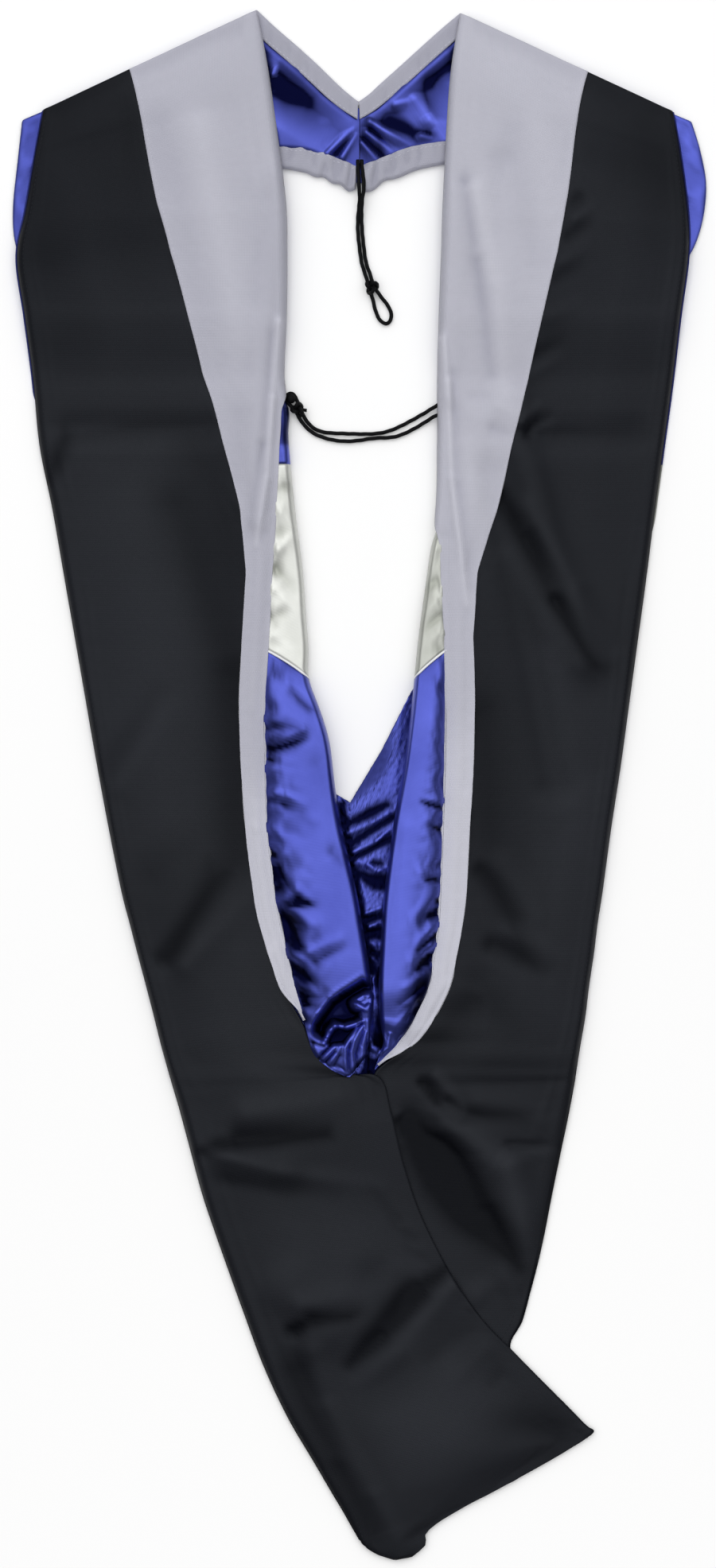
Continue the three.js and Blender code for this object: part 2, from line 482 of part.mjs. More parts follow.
function addPiece(name, geometry, look) {
  const mesh = new THREE.Mesh(geometry, new THREE.MeshStandardMaterial(look));
  mesh.name = name;
  hood.add(mesh);
  return mesh;
}

function addCordPiece(name, geometry) {
  cords.push(addPiece(name, geometry, colours.cord));
}

// The black shell of a half: from the outer edge to the velvet, and over the whole tail
function addShell(half) {
  const surface = (v, a) => {
    const cut = crossSection(half, v);
    return cut.topAt(mix(0, cut.seam - seamGap / 2, a ** 1.3));
  };
  const last = half.plan.length - 1;
  const upper = stationsBetween(0, half.lastTube, 0.75).map((s) => s * half.lastTube);
  const rows = [...upper];
  for (let v = half.lastTube + 1; v <= last; v += 1) rows.push(v);
  const stations = rows.map((v) => v / last);
  addPiece(`shell_${half.side}`, cloth(surface, () => 0, () => last, stations, shellAcross, shellWall), colours.shell);
}

// The velvet trim between the shell and the lining
function addTrim(half) {
  const surface = (v, a) => {
    const cut = crossSection(half, v);
    return cut.topAt(mix(cut.seam + seamGap / 2, cut.toInner - seamGap / 2, a));
  };
  const stations = stationsBetween(0, half.lastTrim, 0.75);
  const body = cloth(surface, () => 0, () => half.lastTrim, stations, trimAcross, velvetWall);
  addPiece(`velvet_trim_${half.side}`, body, colours.velvet);
}

// One length of the lining, which rolls over the fold and returns below to the outer edge
function addLining(half, name, from, to, step, wall, look) {
  const across = rollAcross + underAcross;
  const turn = rollAcross / across;
  const surface = (v, a) => {
    const cut = crossSection(half, v);
    if (a <= turn) {
      const left = 1 - a / turn;
      return cut.topAt(cut.toFold - (cut.toFold - cut.toInner - seamGap / 2) * left ** 1.6);
    }
    const reach = ((a - turn) / (1 - turn)) ** 1.6;
    return cut.underAt(mix(cut.flat, outerRound * 0.22, reach));
  };
  const slope = (a) => Math.min(1, a / turn);
  const stations = stationsBetween(from(0), to(0), step);
  const body = cloth(surface, (a) => from(slope(a)), (a) => to(slope(a)), stations, across, wall);
  addPiece(`${name}_${half.side}`, body, look);
}

function addLinings(half) {
  const gap = layerGap / rowLength;
  const pipe = pipingWidth / rowLength;
  const change = (s) => chevronEnd + chevronSlope * s;
  addLining(half, 'lining_upper', () => 0, () => chevronTop - gap / 2, 0.75, liningWall, colours.blue);
  addLining(half, 'chevron', () => chevronTop + gap / 2, (s) => change(s) - gap, 0.75, liningWall, colours.silver);
  addLining(half, 'piping', change, (s) => change(s) + pipe, 1, pipingWidth, colours.piping);
  const start = (s) => change(s) + pipe + gap;
  addLining(half, 'lining_lower', start, () => half.lastTube, 0.75, liningWall, colours.blue);
}

// A flat sheet between two outlines at one height
function flatSheet(rows, height, wall, across, inset) {
  const surface = (v, a) => {
    const start = outlinePoint(rows, 'a', v);
    const end = outlinePoint(rows, 'b', v);
    const trim = inset / start.distanceTo(end);
    const plan = start.lerp(end, mix(trim, 1 - trim, a));
    return new THREE.Vector3(plan.x, plan.y, height(plan, v));
  };
  const last = rows.length - 1;
  return cloth(surface, () => 0, () => last, stationsBetween(0, last, 0.75), across, wall);
}

function addYoke(side, rows) {
  addPiece(`yoke_shell_${side}`, flatSheet(rows, () => shellWall / 2, shellWall, 5, 0), colours.shell);
  const level = shellWall + layerGap + liningWall / 2;
  addPiece(`yoke_lining_${side}`, flatSheet(rows, () => level, liningWall, 5, 0), colours.blue);
}

// Half of the neckband: velvet whose upper and lower edges are turned over the lining
function addNeckband(side, rows) {
  const low = velvetWall / 2;
  const turn = (start, sign) => [-1, -0.5, 0, 0.5, 1].map((q) => [
    start + sign * flapTurn * (1 - Math.cos(q * Math.PI / 2)),
    low + flapTurn * (1 + q),
  ]);
  const pathAt = (width) => [
    [upperFlap, flapHeight],
    ...turn(0, 1).reverse(),
    [width * 0.35, low],
    [width * 0.65, low],
    ...turn(width, -1),
    [width - lowerFlap, flapHeight],
  ];
  const across = pathAt(1).length - 1;
  const surface = (v, a) => {
    const start = outlinePoint(rows, 'a', v);
    const end = outlinePoint(rows, 'b', v);
    const path = pathAt(start.distanceTo(end));
    const k = clamp(Math.floor(a * across + 1e-9), 0, across - 1);
    const u = a * across - k;
    const reach = mix(path[k][0], path[k + 1][0], u) / start.distanceTo(end);
    const plan = start.lerp(end, reach);
    return new THREE.Vector3(plan.x, plan.y, mix(path[k][1], path[k + 1][1], u));
  };
  const last = rows.length - 1;
  const stations = stationsBetween(0, last, 1);
  addPiece(`neckband_${side}`, cloth(surface, () => 0, () => last, stations, across, velvetWall), colours.velvet);
  const level = velvetWall + layerGap + liningWall / 2;
  const lining = flatSheet(rows, () => level, liningWall, 3, bandLiningInset);
  addPiece(`neckband_lining_${side}`, lining, colours.blue);
}

// The blue panel that shows between the two rolls, with soft folds across it
function addCentrePanel() {
  const top = place([0.012, 0.505]);
  const low = place([0.044, 0.625]);
  const height = (plan) => {
    const down = clamp((top.y - plan.y) / (top.y - low.y), 0, 1);
    const wave = Math.sin((plan.y - plan.x * 0.5) / panelFoldPitch);
    const away = (plan.x - mix(top.x, low.x, down)) / mix(panelOpenTop, panelOpenLow, down);
    return liningWall / 2 + panelRipple * (0.5 + 0.5 * wave) * Math.max(0, 1 - away * away);
  };
  addPiece('lining_centre', flatSheet(centrePanel, height, liningWall, 9, 0), colours.blue);
}

// A cord along its route. Heights are shares of the neckband's stack above the floor.
function cordBody(route, ends) {
  const floor = cordDiameter / 2 + layerGap;
  const points = route.map(([x, y, up]) => new THREE.Vector3(x, y, floor + up * bandStack));
  const curve = new THREE.CatmullRomCurve3([...ends.start, ...points, ...ends.end]);
  const circle = new THREE.Shape();
  for (let k = 0; k < 8; k += 1) {
    const turn = (k / 8) * Math.PI * 2;
    const corner = [Math.cos(turn) * cordDiameter / 2, Math.sin(turn) * cordDiameter / 2];
    if (k === 0) circle.moveTo(...corner);
    else circle.lineTo(...corner);
  }
  const steps = Math.max(4, Math.round(curve.getLength() / (cordDiameter * 2)));
  return new THREE.ExtrudeGeometry(circle, { steps, extrudePath: curve });
}

// The end of a cord that is seated on a knot, a small gap away from it. axis is the knot's long
// direction and reach half its length.
function seatOnKnot(knot, near, axis, reach) {
  const out = new THREE.Vector3(near[0] - knot.x, near[1] - knot.y, -knot.z * 0.2).normalize();
  const along = out.dot(axis);
  const across = Math.sqrt(1 - along * along);
  return knot.clone().addScaledVector(out, 1 / Math.hypot(along / reach, across / knotRadius) + layerGap);
}

function addCords() {
  const knotLevel = knotRadius + layerGap;
  const frontKnot = new THREE.Vector3(...frontKnotPlace, knotLevel);
  const backKnot = new THREE.Vector3(...backKnotPlace, knotLevel);
  const along = new THREE.Vector3(...backKnotTurn, 0).normalize();
  const seat = (knot, route, index) => [seatOnKnot(knot, route.at(index), along, knotRadius)];
  const seatBack = (route) => [seatOnKnot(backKnot, route[0], along, backKnotLength / 2)];
  addCordPiece('cord_front_left', cordBody(frontLeftRoute, { start: [], end: seat(frontKnot, frontLeftRoute, -1) }));
  addCordPiece('cord_front_right', cordBody(frontRightRoute, { start: [], end: seat(frontKnot, frontRightRoute, -1) }));
  const loopEnds = { start: seat(frontKnot, frontLoopRoute, 0), end: seat(frontKnot, frontLoopRoute, -1) };
  addCordPiece('cord_front_loop', cordBody(frontLoopRoute, loopEnds));
  addCordPiece('cord_front_knot', new THREE.SphereGeometry(knotRadius, 10, 8).translate(...frontKnot));
  addCordPiece('cord_back_upper', cordBody(backUpperRoute, { start: seatBack(backUpperRoute), end: [] }));
  addCordPiece('cord_back_lower', cordBody(backLowerRoute, { start: seatBack(backLowerRoute), end: [] }));
  const knotBody = new THREE.SphereGeometry(knotRadius, 10, 8).scale(1, backKnotLength / 2 / knotRadius, 1);
  knotBody.applyQuaternion(new THREE.Quaternion().setFromUnitVectors(new THREE.Vector3(0, 1, 0), along));
  addCordPiece('cord_back_knot', knotBody.translate(...backKnot));
  const button = backKnot.clone().addScaledVector(along, backKnotLength / 2 + layerGap + buttonRadius);
  addCordPiece('cord_back_button', new THREE.SphereGeometry(buttonRadius, 10, 8).translate(...button));
}

const halves = [
  { side: 'left', plan: leftPlan, rise: leftRise, lastTube: lastTubeRow.left, lastTrim: lastTrimRow.left },
  { side: 'right', plan: rightPlan, rise: rightRise, lastTube: lastTubeRow.right, lastTrim: lastTrimRow.right },
];
for (const half of halves) {
  addShell(half);
  addTrim(half);
  addLinings(half);
}
addYoke('left', leftYoke);
addYoke('right', rightYoke);
addNeckband('left', leftBand);
addNeckband('right', rightBand);
addCentrePanel();
addCords();

// The origin is the middle of the hood's own box, at the floor
const box = new THREE.Box3();
for (const mesh of hood.children.filter((child) => !cords.includes(child))) box.expandByObject(mesh);
const middle = box.getCenter(new THREE.Vector3());
hood.position.set(-middle.x, -middle.y, -box.min.z);

export default hood;
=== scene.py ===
import math

import bpy
import numpy as np
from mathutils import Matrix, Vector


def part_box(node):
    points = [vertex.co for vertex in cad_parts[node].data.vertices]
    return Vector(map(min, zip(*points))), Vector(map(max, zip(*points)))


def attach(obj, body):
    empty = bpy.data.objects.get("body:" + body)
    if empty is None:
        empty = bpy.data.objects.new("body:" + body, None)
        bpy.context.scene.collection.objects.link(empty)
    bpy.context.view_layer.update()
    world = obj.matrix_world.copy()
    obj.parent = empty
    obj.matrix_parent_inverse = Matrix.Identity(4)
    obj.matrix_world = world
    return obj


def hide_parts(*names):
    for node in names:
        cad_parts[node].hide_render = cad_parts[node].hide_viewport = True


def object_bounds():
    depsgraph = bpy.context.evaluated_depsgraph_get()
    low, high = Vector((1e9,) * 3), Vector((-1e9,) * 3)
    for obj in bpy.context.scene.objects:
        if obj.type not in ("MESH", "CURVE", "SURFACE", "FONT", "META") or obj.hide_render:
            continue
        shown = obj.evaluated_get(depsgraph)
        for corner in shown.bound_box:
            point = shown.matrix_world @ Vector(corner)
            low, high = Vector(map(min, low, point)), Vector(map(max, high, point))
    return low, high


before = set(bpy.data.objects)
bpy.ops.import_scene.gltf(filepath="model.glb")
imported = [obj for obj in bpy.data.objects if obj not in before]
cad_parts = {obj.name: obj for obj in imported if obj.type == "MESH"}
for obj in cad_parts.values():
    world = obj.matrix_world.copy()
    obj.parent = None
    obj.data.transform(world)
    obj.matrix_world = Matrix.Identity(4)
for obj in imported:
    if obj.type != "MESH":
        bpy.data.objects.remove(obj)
cad_low, cad_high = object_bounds()

MM = 0.001

# The hood's measures: half its width and the floor's level are taken from the frame, its length and the
# outline's middle are those that the solids are built with
HALF_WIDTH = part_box("yoke_lining_right")[1].x
LENGTH = 1067 * MM
MIDDLE = np.array([0.09, 1.07]) * MM
FLOOR_LEVEL = cad_low.z

# Cloth walls and the space between layers
SHELL_WALL = 1.4 * MM
VELVET_WALL = 1.8 * MM
LINING_WALL = 1.0 * MM
LAYER_GAP = 0.3 * MM
SHELL_STEP = SHELL_WALL + LAYER_GAP
LINING_STEP = LINING_WALL + LAYER_GAP
FLAP_HEIGHT = VELVET_WALL + LINING_STEP + LAYER_GAP + VELVET_WALL / 2
BAND_STACK = FLAP_HEIGHT + VELVET_WALL / 2 + LAYER_GAP
FLAP_TURN = (FLAP_HEIGHT - VELVET_WALL / 2) / 2
UPPER_FLAP = 11.5 * MM
LOWER_FLAP = 16 * MM

# How the cloth stands off the floor, and the radii of its round edges
TRIM_WIDTH = 92 * MM
FOLD_TURN = 3 * MM
SHELL_CROWN = 8 * MM
VELVET_CROWN = 12 * MM
VELVET_PUFF = 3 * MM
ROLL_HEIGHT = 24 * MM
FOLD_RISE = 8 * MM
OUTER_RISE = 1.8 * MM
OUTER_ROUND = 6 * MM

# Cords
CORD_DIAMETER = 2.8 * MM
KNOT_RADIUS = 3.8 * MM
BUTTON_RADIUS = 3.2 * MM

# The photograph in pixels, the size of one of them on the hood, and the height above the floor at which
# that size holds
PHOTO_HEIGHT = 1972
PHOTO_MIDDLE = (450, 986)
HOOD_MIDDLE = (452, 986)
PIXEL = 0.5456 * MM
SCALE_LEVEL = 10 * MM
CAMERA_HEIGHT = 3.4
SENSOR = 36


def columns(names, rows):
    """A table as one array for each named column."""
    return dict(zip(names.split(), np.array(rows, float).T))


# Outline rows from the shoulder to the tail: x as a share of the half width, y of the length
LEFT_PLAN = columns("outer_x outer_y inner_x inner_y fold_x fold_y trim cover", [
    (-0.908, 0.066, -0.297, 0.002, -0.297, 0.002, 1.0, 1),
    (-0.931, 0.094, -0.261, 0.047, -0.261, 0.047, 0.95, 1),
    (-0.959, 0.131, -0.217, 0.121, -0.217, 0.121, 0.905, 1),
    (-0.984, 0.161, -0.211, 0.157, -0.211, 0.157, 0.815, 1),
    (-0.961, 0.200, -0.213, 0.200, -0.213, 0.200, 0.678, 1),
    (-0.938, 0.241, -0.221, 0.241, -0.220, 0.241, 0.538, 1),
    (-0.920, 0.282, -0.229, 0.282, -0.206, 0.282, 0.398, 1),
    (-0.883, 0.323, -0.240, 0.323, -0.188, 0.323, 0.25, 1),
    (-0.851, 0.364, -0.252, 0.364, -0.165, 0.364, 0.178, 1),
    (-0.819, 0.405, -0.261, 0.405, -0.151, 0.405, 0.185, 1),
    (-0.787, 0.446, -0.272, 0.446, -0.124, 0.446, 0.178, 1),
    (-0.755, 0.487, -0.270, 0.487, -0.085, 0.487, 0.17, 1),
    (-0.721, 0.528, -0.265, 0.528, -0.053, 0.528, 0.15, 1),
    (-0.684, 0.569, -0.245, 0.569, -0.011, 0.569, 0.143, 1),
    (-0.661, 0.589, -0.229, 0.589, 0.005, 0.589, 0.143, 1),
    (-0.638, 0.609, -0.208, 0.609, 0.020, 0.609, 0.13, 1),
    (-0.613, 0.630, -0.188, 0.630, 0.033, 0.629, 0.095, 1),
    (-0.590, 0.650, -0.156, 0.654, 0.038, 0.639, 0.02, 1),
    (-0.570, 0.668, -0.130, 0.673, 0.036, 0.650, 0, 1),
    (-0.554, 0.681, -0.087, 0.682, 0.030, 0.661, 0, 1),
    (-0.540, 0.692, -0.027, 0.687, 0.024, 0.671, 0, 1),
    (-0.519, 0.708, 0.059, 0.689, 0.059, 0.689, 0, 1),
    (-0.490, 0.732, 0.092, 0.712, 0.092, 0.712, 0, 1),
    (-0.453, 0.763, 0.128, 0.745, 0.128, 0.745, 0, 1),
    (-0.416, 0.788, 0.178, 0.778, 0.178, 0.778, 0, 1),
    (-0.375, 0.814, 0.259, 0.814, 0.259, 0.814, 0, 1),
    (-0.330, 0.842, 0.350, 0.844, 0.350, 0.844, 0, 1),
    (-0.275, 0.875, 0.453, 0.868, 0.453, 0.868, 0, 1),
    (-0.206, 0.908, 0.568, 0.894, 0.568, 0.894, 0, 1),
    (-0.130, 0.937, 0.652, 0.913, 0.652, 0.913, 0, 1),
    (-0.078, 0.957, 0.673, 0.918, 0.673, 0.918, 0, 1),
    (-0.046, 0.969, 0.602, 0.929, 0.602, 0.929, 0, 1),
    (-0.021, 0.979, 0.453, 0.948, 0.453, 0.948, 0, 1),
    (0.000, 0.987, 0.293, 0.967, 0.293, 0.967, 0, 1),
    (0.025, 0.993, 0.197, 0.981, 0.197, 0.981, 0, 1),
    (0.057, 0.997, 0.188, 0.991, 0.188, 0.991, 0, 1),
    (0.098, 1.000, 0.151, 0.998, 0.151, 0.998, 0, 1),
])
RIGHT_PLAN = columns("outer_x outer_y inner_x inner_y fold_x fold_y trim cover", [
    (0.899, 0.067, 0.291, 0.004, 0.291, 0.004, 1.0, 1),
    (0.922, 0.096, 0.261, 0.050, 0.261, 0.050, 0.94, 1),
    (0.943, 0.134, 0.243, 0.123, 0.243, 0.123, 0.86, 1),
    (0.943, 0.161, 0.238, 0.157, 0.238, 0.157, 0.81, 1),
    (0.920, 0.200, 0.231, 0.200, 0.231, 0.200, 0.715, 1),
    (0.899, 0.241, 0.227, 0.241, 0.227, 0.241, 0.62, 1),
    (0.874, 0.282, 0.229, 0.282, 0.227, 0.282, 0.5, 1),
    (0.849, 0.323, 0.227, 0.323, 0.222, 0.323, 0.405, 1),
    (0.826, 0.364, 0.233, 0.364, 0.197, 0.364, 0.256, 1),
    (0.801, 0.405, 0.243, 0.405, 0.172, 0.405, 0.2, 1),
    (0.776, 0.446, 0.245, 0.446, 0.153, 0.446, 0.208, 1),
    (0.751, 0.487, 0.243, 0.487, 0.130, 0.487, 0.205, 1),
    (0.723, 0.528, 0.238, 0.528, 0.098, 0.528, 0.19, 1),
    (0.698, 0.569, 0.231, 0.569, 0.073, 0.569, 0.185, 1),
    (0.684, 0.589, 0.227, 0.589, 0.066, 0.589, 0.167, 1),
    (0.673, 0.609, 0.215, 0.609, 0.061, 0.609, 0.155, 1),
    (0.659, 0.630, 0.199, 0.630, 0.057, 0.630, 0.143, 1),
    (0.648, 0.650, 0.160, 0.650, 0.060, 0.648, 0.131, 1),
    (0.632, 0.671, 0.110, 0.667, 0.064, 0.658, 0.107, 1),
    (0.622, 0.686, 0.041, 0.684, 0.069, 0.669, 0.02, 0.96),
    (0.618, 0.692, 0.023, 0.697, 0.023, 0.697, 0, 0.92),
    (0.600, 0.714, -0.119, 0.722, -0.119, 0.722, 0, 0.62),
    (0.579, 0.737, -0.279, 0.745, -0.279, 0.745, 0, 0.43),
    (0.551, 0.768, -0.405, 0.773, -0.405, 0.773, 0, 0.30),
    (0.531, 0.791, -0.384, 0.793, -0.384, 0.793, 0, 0.24),
    (0.508, 0.814, -0.352, 0.816, -0.352, 0.816, 0, 0.18),
    (0.471, 0.845, -0.307, 0.846, -0.307, 0.846, 0, 0.05),
    (0.437, 0.866, -0.265, 0.871, -0.265, 0.871, 0, 0.02),
    (0.545, 0.894, -0.195, 0.907, -0.195, 0.907, 0, 0.02),
    (0.632, 0.914, -0.119, 0.936, -0.119, 0.936, 0, 0.02),
    (0.650, 0.918, -0.066, 0.956, -0.066, 0.956, 0, 0.02),
    (0.581, 0.928, -0.034, 0.967, -0.034, 0.967, 0, 0.02),
    (0.442, 0.946, -0.009, 0.977, -0.009, 0.977, 0, 0.02),
    (0.284, 0.965, 0.011, 0.985, 0.011, 0.985, 0, 0.02),
    (0.185, 0.978, 0.034, 0.990, 0.034, 0.990, 0, 0.02),
    (0.176, 0.989, 0.064, 0.994, 0.064, 0.994, 0, 0.02),
    (0.142, 0.995, 0.101, 0.997, 0.101, 0.997, 0, 0.02),
])

# How the cloth stands at some rows of the outline, as shares of the heights above
LEFT_RISE = columns("at edge crown seam puff roll fold lift under panel", [
    (0, 0.3, 0.15, 0.1, 0.2, 0.12, 0.15, 1, 0, 0),
    (1, 0.8, 0.7, 0.5, 0.8, 0.3, 0.35, 1, 0, 0),
    (2.3, 1, 1, 0.75, 1, 0.4, 0.5, 1, 0, 0),
    (3.9, 1, 1, 0.8, 1, 0.42, 0.5, 0.8, 0, 0),
    (5, 1, 1, 0.8, 1, 0.42, 0.5, 0, 0, 0),
    (9, 1, 1, 0.8, 0.6, 0.5, 0.5, 0, 0, 0),
    (10.5, 1, 1, 0.8, 0.5, 0.9, 0.9, 0, 0, 1),
    (15, 1, 1, 0.8, 0.4, 1, 1, 0, 0, 1),
    (17, 1, 1, 0.75, 0, 0.9, 0.8, 0, 0, 1),
    (18.5, 1, 0.9, 0.5, 0, 0.7, 0.6, 0, 0.3, 1),
    (20, 1, 0.7, 0.1, 0, 0.35, 0.3, 0, 1.3, 1),
    (21, 1, 0.6, 0, 0, 0, 0, 0, 3.0, 0),
    (22, 1, 0.7, 0, 0, 0, 0, 0, 2.8, 0),
    (24, 1, 0.8, 0, 0, 0, 0, 0, 1.2, 0),
    (29, 0.9, 0.7, 0, 0, 0, 0, 0, 1.2, 0),
    (33, 0.7, 0.3, 0, 0, 0, 0, 0, 1.2, 0),
    (36, 0.6, 0.1, 0, 0, 0, 0, 0, 1.2, 0),
])
RIGHT_RISE = columns("at edge crown seam puff roll fold lift under panel", [
    (0, 0.3, 0.15, 0.1, 0.2, 0.12, 0.15, 1, 0, 0),
    (1, 0.8, 0.7, 0.5, 0.8, 0.3, 0.35, 1, 0, 0),
    (2.3, 1, 1, 0.75, 1, 0.4, 0.5, 1, 0, 0),
    (3.9, 1, 1, 0.8, 1, 0.42, 0.5, 0.8, 0, 0),
    (5, 1, 1, 0.8, 1, 0.42, 0.5, 0, 0, 0),
    (7.6, 1, 1, 0.8, 0.8, 0.46, 0.5, 0, 0, 0),
    (9, 1, 1, 0.8, 0.6, 0.6, 0.6, 0, 0, 1),
    (10.5, 1, 1, 0.8, 0.5, 0.9, 0.9, 0, 0, 1),
    (16, 1, 1, 0.75, 0.4, 1, 0.9, 0, 0, 1),
    (17.2, 1, 1, 0.6, 0.3, 0.75, 0.7, 0, 0, 1),
    (18.2, 1, 1, 0.3, 0.1, 0.5, 0.5, 0, 0, 1),
    (19, 1, 0.8, 0.02, 0, 0.25, 0.3, 0, 0.1, 1),
    (20, 1, 0.6, 0, 0, 0, 0, 0, 1.6, 0),
    (21, 1, 0.6, 0, 0, 0, 0, 0, 1.0, 0),
    (22, 0.8, 0.6, 0, 0, 0, 0, 0, 0.4, 0),
    (23, 0.5, 0.6, 0, 0, 0, 0, 0, 0, 0),
    (26, 0.2, 0.1, 0, 0, 0, 0, 0, 0, 0),
    (27, 0, 0, 0, 0, 0, 0, 0, 0, 0),
    (36, 0, 0, 0, 0, 0, 0, 0, 0, 0),
])

# Folds of the upper cloth: both ends in shares, then height and half breadth in millimetres
FOLDS = columns("from_x from_y to_x to_y height breadth", [
    (-0.240, 0.105, -0.300, 0.330, 2.5, 7),
    (0.285, 0.120, 0.255, 0.250, 2.5, 8),
    (0.400, 0.100, 0.350, 0.250, -2.0, 10),
    (0.430, 0.255, 0.650, 0.420, 3.0, 12),
    (0.380, 0.300, 0.560, 0.500, -2.2, 12),
    (-0.900, 0.272, -0.450, 0.272, -2.0, 10),
    (0.480, 0.275, 0.860, 0.275, -2.0, 10),
    (-0.400, 0.742, -0.230, 0.748, 2.5, 14),
    (-0.210, 0.825, -0.100, 0.850, 3.0, 18),
    (0.050, 0.820, 0.230, 0.858, -2.0, 16),
])

# Creases from the photograph: both ends in its pixels, the height at the start and the half
# breadth in millimetres. At its far end a crease has a third of its height, where nothing else is said.
CREASE = "from_px from_py to_px to_py height breadth"
SHELL_LEFT_CREASES = columns(CREASE, [
    (62, 605, 84, 556, -1.8, 5), (84, 556, 150, 545, -0.7, 4), (150, 545, 268, 532, -0.5, 4),
    (70, 548, 140, 536, 0.7, 5), (215, 640, 288, 850, -2.2, 14), (288, 850, 288, 1080, -2.6, 14),
    (132, 972, 196, 872, -1.6, 8), (150, 985, 215, 890, 1.2, 9), (206, 1206, 285, 1098, -2.8, 7),
    (232, 1212, 318, 1120, 2.2, 9), (190, 1100, 240, 1060, -1.0, 12), (60, 330, 200, 300, -0.8, 16),
    (70, 200, 150, 430, 0.9, 18), (160, 140, 175, 260, -1.0, 10),
    (252, 1452, 300, 1432, -3.6, 5), (300, 1432, 412, 1422, -3.2, 7), (310, 1398, 420, 1382, 2.6, 10),
    (258, 1446, 350, 1472, 2.2, 5), (350, 1472, 478, 1492, 1.6, 6), (282, 1484, 420, 1506, -1.4, 7),
    (500, 1538, 470, 1500, -1.0, 4), (520, 1560, 492, 1540, -1.2, 3), (542, 1590, 512, 1572, -1.0, 3),
    (368, 1676, 392, 1660, -3.4, 5), (392, 1660, 452, 1652, -2.8, 7), (380, 1640, 460, 1624, 2.0, 9),
    (562, 1598, 520, 1630, -3.0, 6), (520, 1630, 480, 1680, -4.6, 9), (480, 1680, 442, 1718, -3.6, 6),
    (566, 1618, 500, 1700, 2.8, 9), (500, 1700, 450, 1742, 2.0, 8),
    (392, 1700, 412, 1770, 1.8, 8), (412, 1770, 470, 1880, 2.2, 8), (470, 1880, 500, 1935, 1.6, 6),
    (372, 1730, 420, 1850, -2.4, 12), (420, 1850, 468, 1930, -2.4, 8),
    (590, 1672, 540, 1712, -1.0, 5), (612, 1696, 560, 1748, 1.0, 6), (632, 1722, 620, 1742, -1.6, 4),
    (700, 1790, 640, 1790, -2.6, 14), (690, 1830, 560, 1890, -1.2, 10), (530, 1800, 430, 1780, 1.6, 26),
])
SHELL_RIGHT_CREASES = columns(CREASE, [
    (655, 532, 676, 510, 2.2, 4), (664, 545, 690, 524, -2.4, 4), (672, 540, 694, 530, 1.8, 3),
    (646, 541, 700, 546, -1.4, 3), (700, 546, 832, 551, -0.6, 4), (690, 534, 800, 540, 0.6, 6),
    (728, 250, 716, 262, -1.8, 4), (722, 276, 744, 262, 1.6, 4), (714, 300, 742, 284, -1.6, 4),
    (706, 330, 736, 312, 1.2, 5), (700, 352, 728, 338, -1.2, 5), (690, 398, 724, 382, 1.0, 6),
    (676, 446, 706, 430, -1.4, 5), (668, 470, 700, 452, 1.2, 5), (750, 200, 838, 220, -0.8, 12),
    (626, 624, 664, 676, -3.2, 7), (664, 676, 706, 742, -2.6, 7), (700, 756, 746, 838, -3.4, 6),
    (660, 640, 726, 740, 2.0, 9), (724, 742, 772, 824, 2.0, 8), (640, 700, 700, 810, 1.6, 10),
    (604, 900, 620, 1080, -2.2, 14), (606, 1096, 646, 1154, -2.8, 7), (632, 1086, 676, 1150, 1.8, 9),
    (620, 1190, 684, 1222, -2.8, 7), (640, 1172, 706, 1202, 1.6, 8), (600, 1240, 640, 1300, -1.6, 12),
    (740, 1000, 700, 1180, 0.9, 14), (596, 1262, 540, 1330, -2.4, 12),
    (532, 1362, 566, 1404, -3.2, 4), (546, 1352, 582, 1392, 2.2, 4), (562, 1388, 592, 1410, -2.4, 4),
    (592, 1404, 664, 1412, -1.8, 6), (600, 1386, 680, 1394, 1.6, 8), (640, 1440, 706, 1441, -1.8, 3),
    (650, 1450, 704, 1452, 1.2, 4), (500, 1404, 526, 1412, 1.6, 4),
    (512, 1414, 556, 1470, -5.0, 8), (546, 1450, 600, 1530, -6.0, 15), (610, 1530, 656, 1596, -5.0, 9),
    (560, 1416, 640, 1470, 6.0, 11), (640, 1470, 676, 1580, 5.5, 12), (600, 1630, 640, 1600, 2.0, 10),
])
VELVET_LEFT_CREASES = columns(CREASE, [
    (351, 405, 343, 500, 3.0, 2.2), (343, 500, 336, 600, 3.2, 2.2), (336, 600, 322, 684, 2.4, 2.4),
    (342, 420, 330, 560, -1.2, 4), (330, 560, 314, 660, -2.0, 4), (250, 160, 300, 420, 1.6, 12),
    (200, 150, 258, 400, -0.8, 12), (338, 250, 330, 380, -0.8, 7), (300, 520, 296, 600, -0.8, 8),
    (340, 780, 334, 900, 0.6, 3), (318, 900, 322, 1000, -0.5, 3),
    (322, 1040, 334, 1044, 0.8, 3), (342, 1196, 358, 1186, 0.8, 4),
])
VELVET_RIGHT_CREASES = columns(CREASE, [
    (556, 425, 563, 480, 3.2, 2.2), (563, 480, 567, 600, 3.2, 2.2), (567, 600, 587, 760, 2.4, 2.4),
    (568, 470, 576, 610, -1.3, 4), (576, 610, 594, 740, -1.2, 4), (584, 232, 600, 330, -3.0, 6),
    (600, 330, 618, 470, -2.6, 6), (596, 240, 618, 350, 2.4, 7), (622, 360, 634, 500, 1.2, 7),
    (640, 170, 670, 330, -1.0, 12), (672, 150, 690, 300, 0.8, 12), (626, 512, 656, 524, 1.0, 5),
    (620, 540, 646, 548, -1.2, 5), (584, 560, 604, 660, 0.9, 8),
    (586, 1000, 578, 1080, 0.6, 4), (560, 1236, 548, 1256, 1.0, 3), (541, 1262, 530, 1284, 1.0, 3),
    (528, 1284, 510, 1306, -0.8, 3),
])
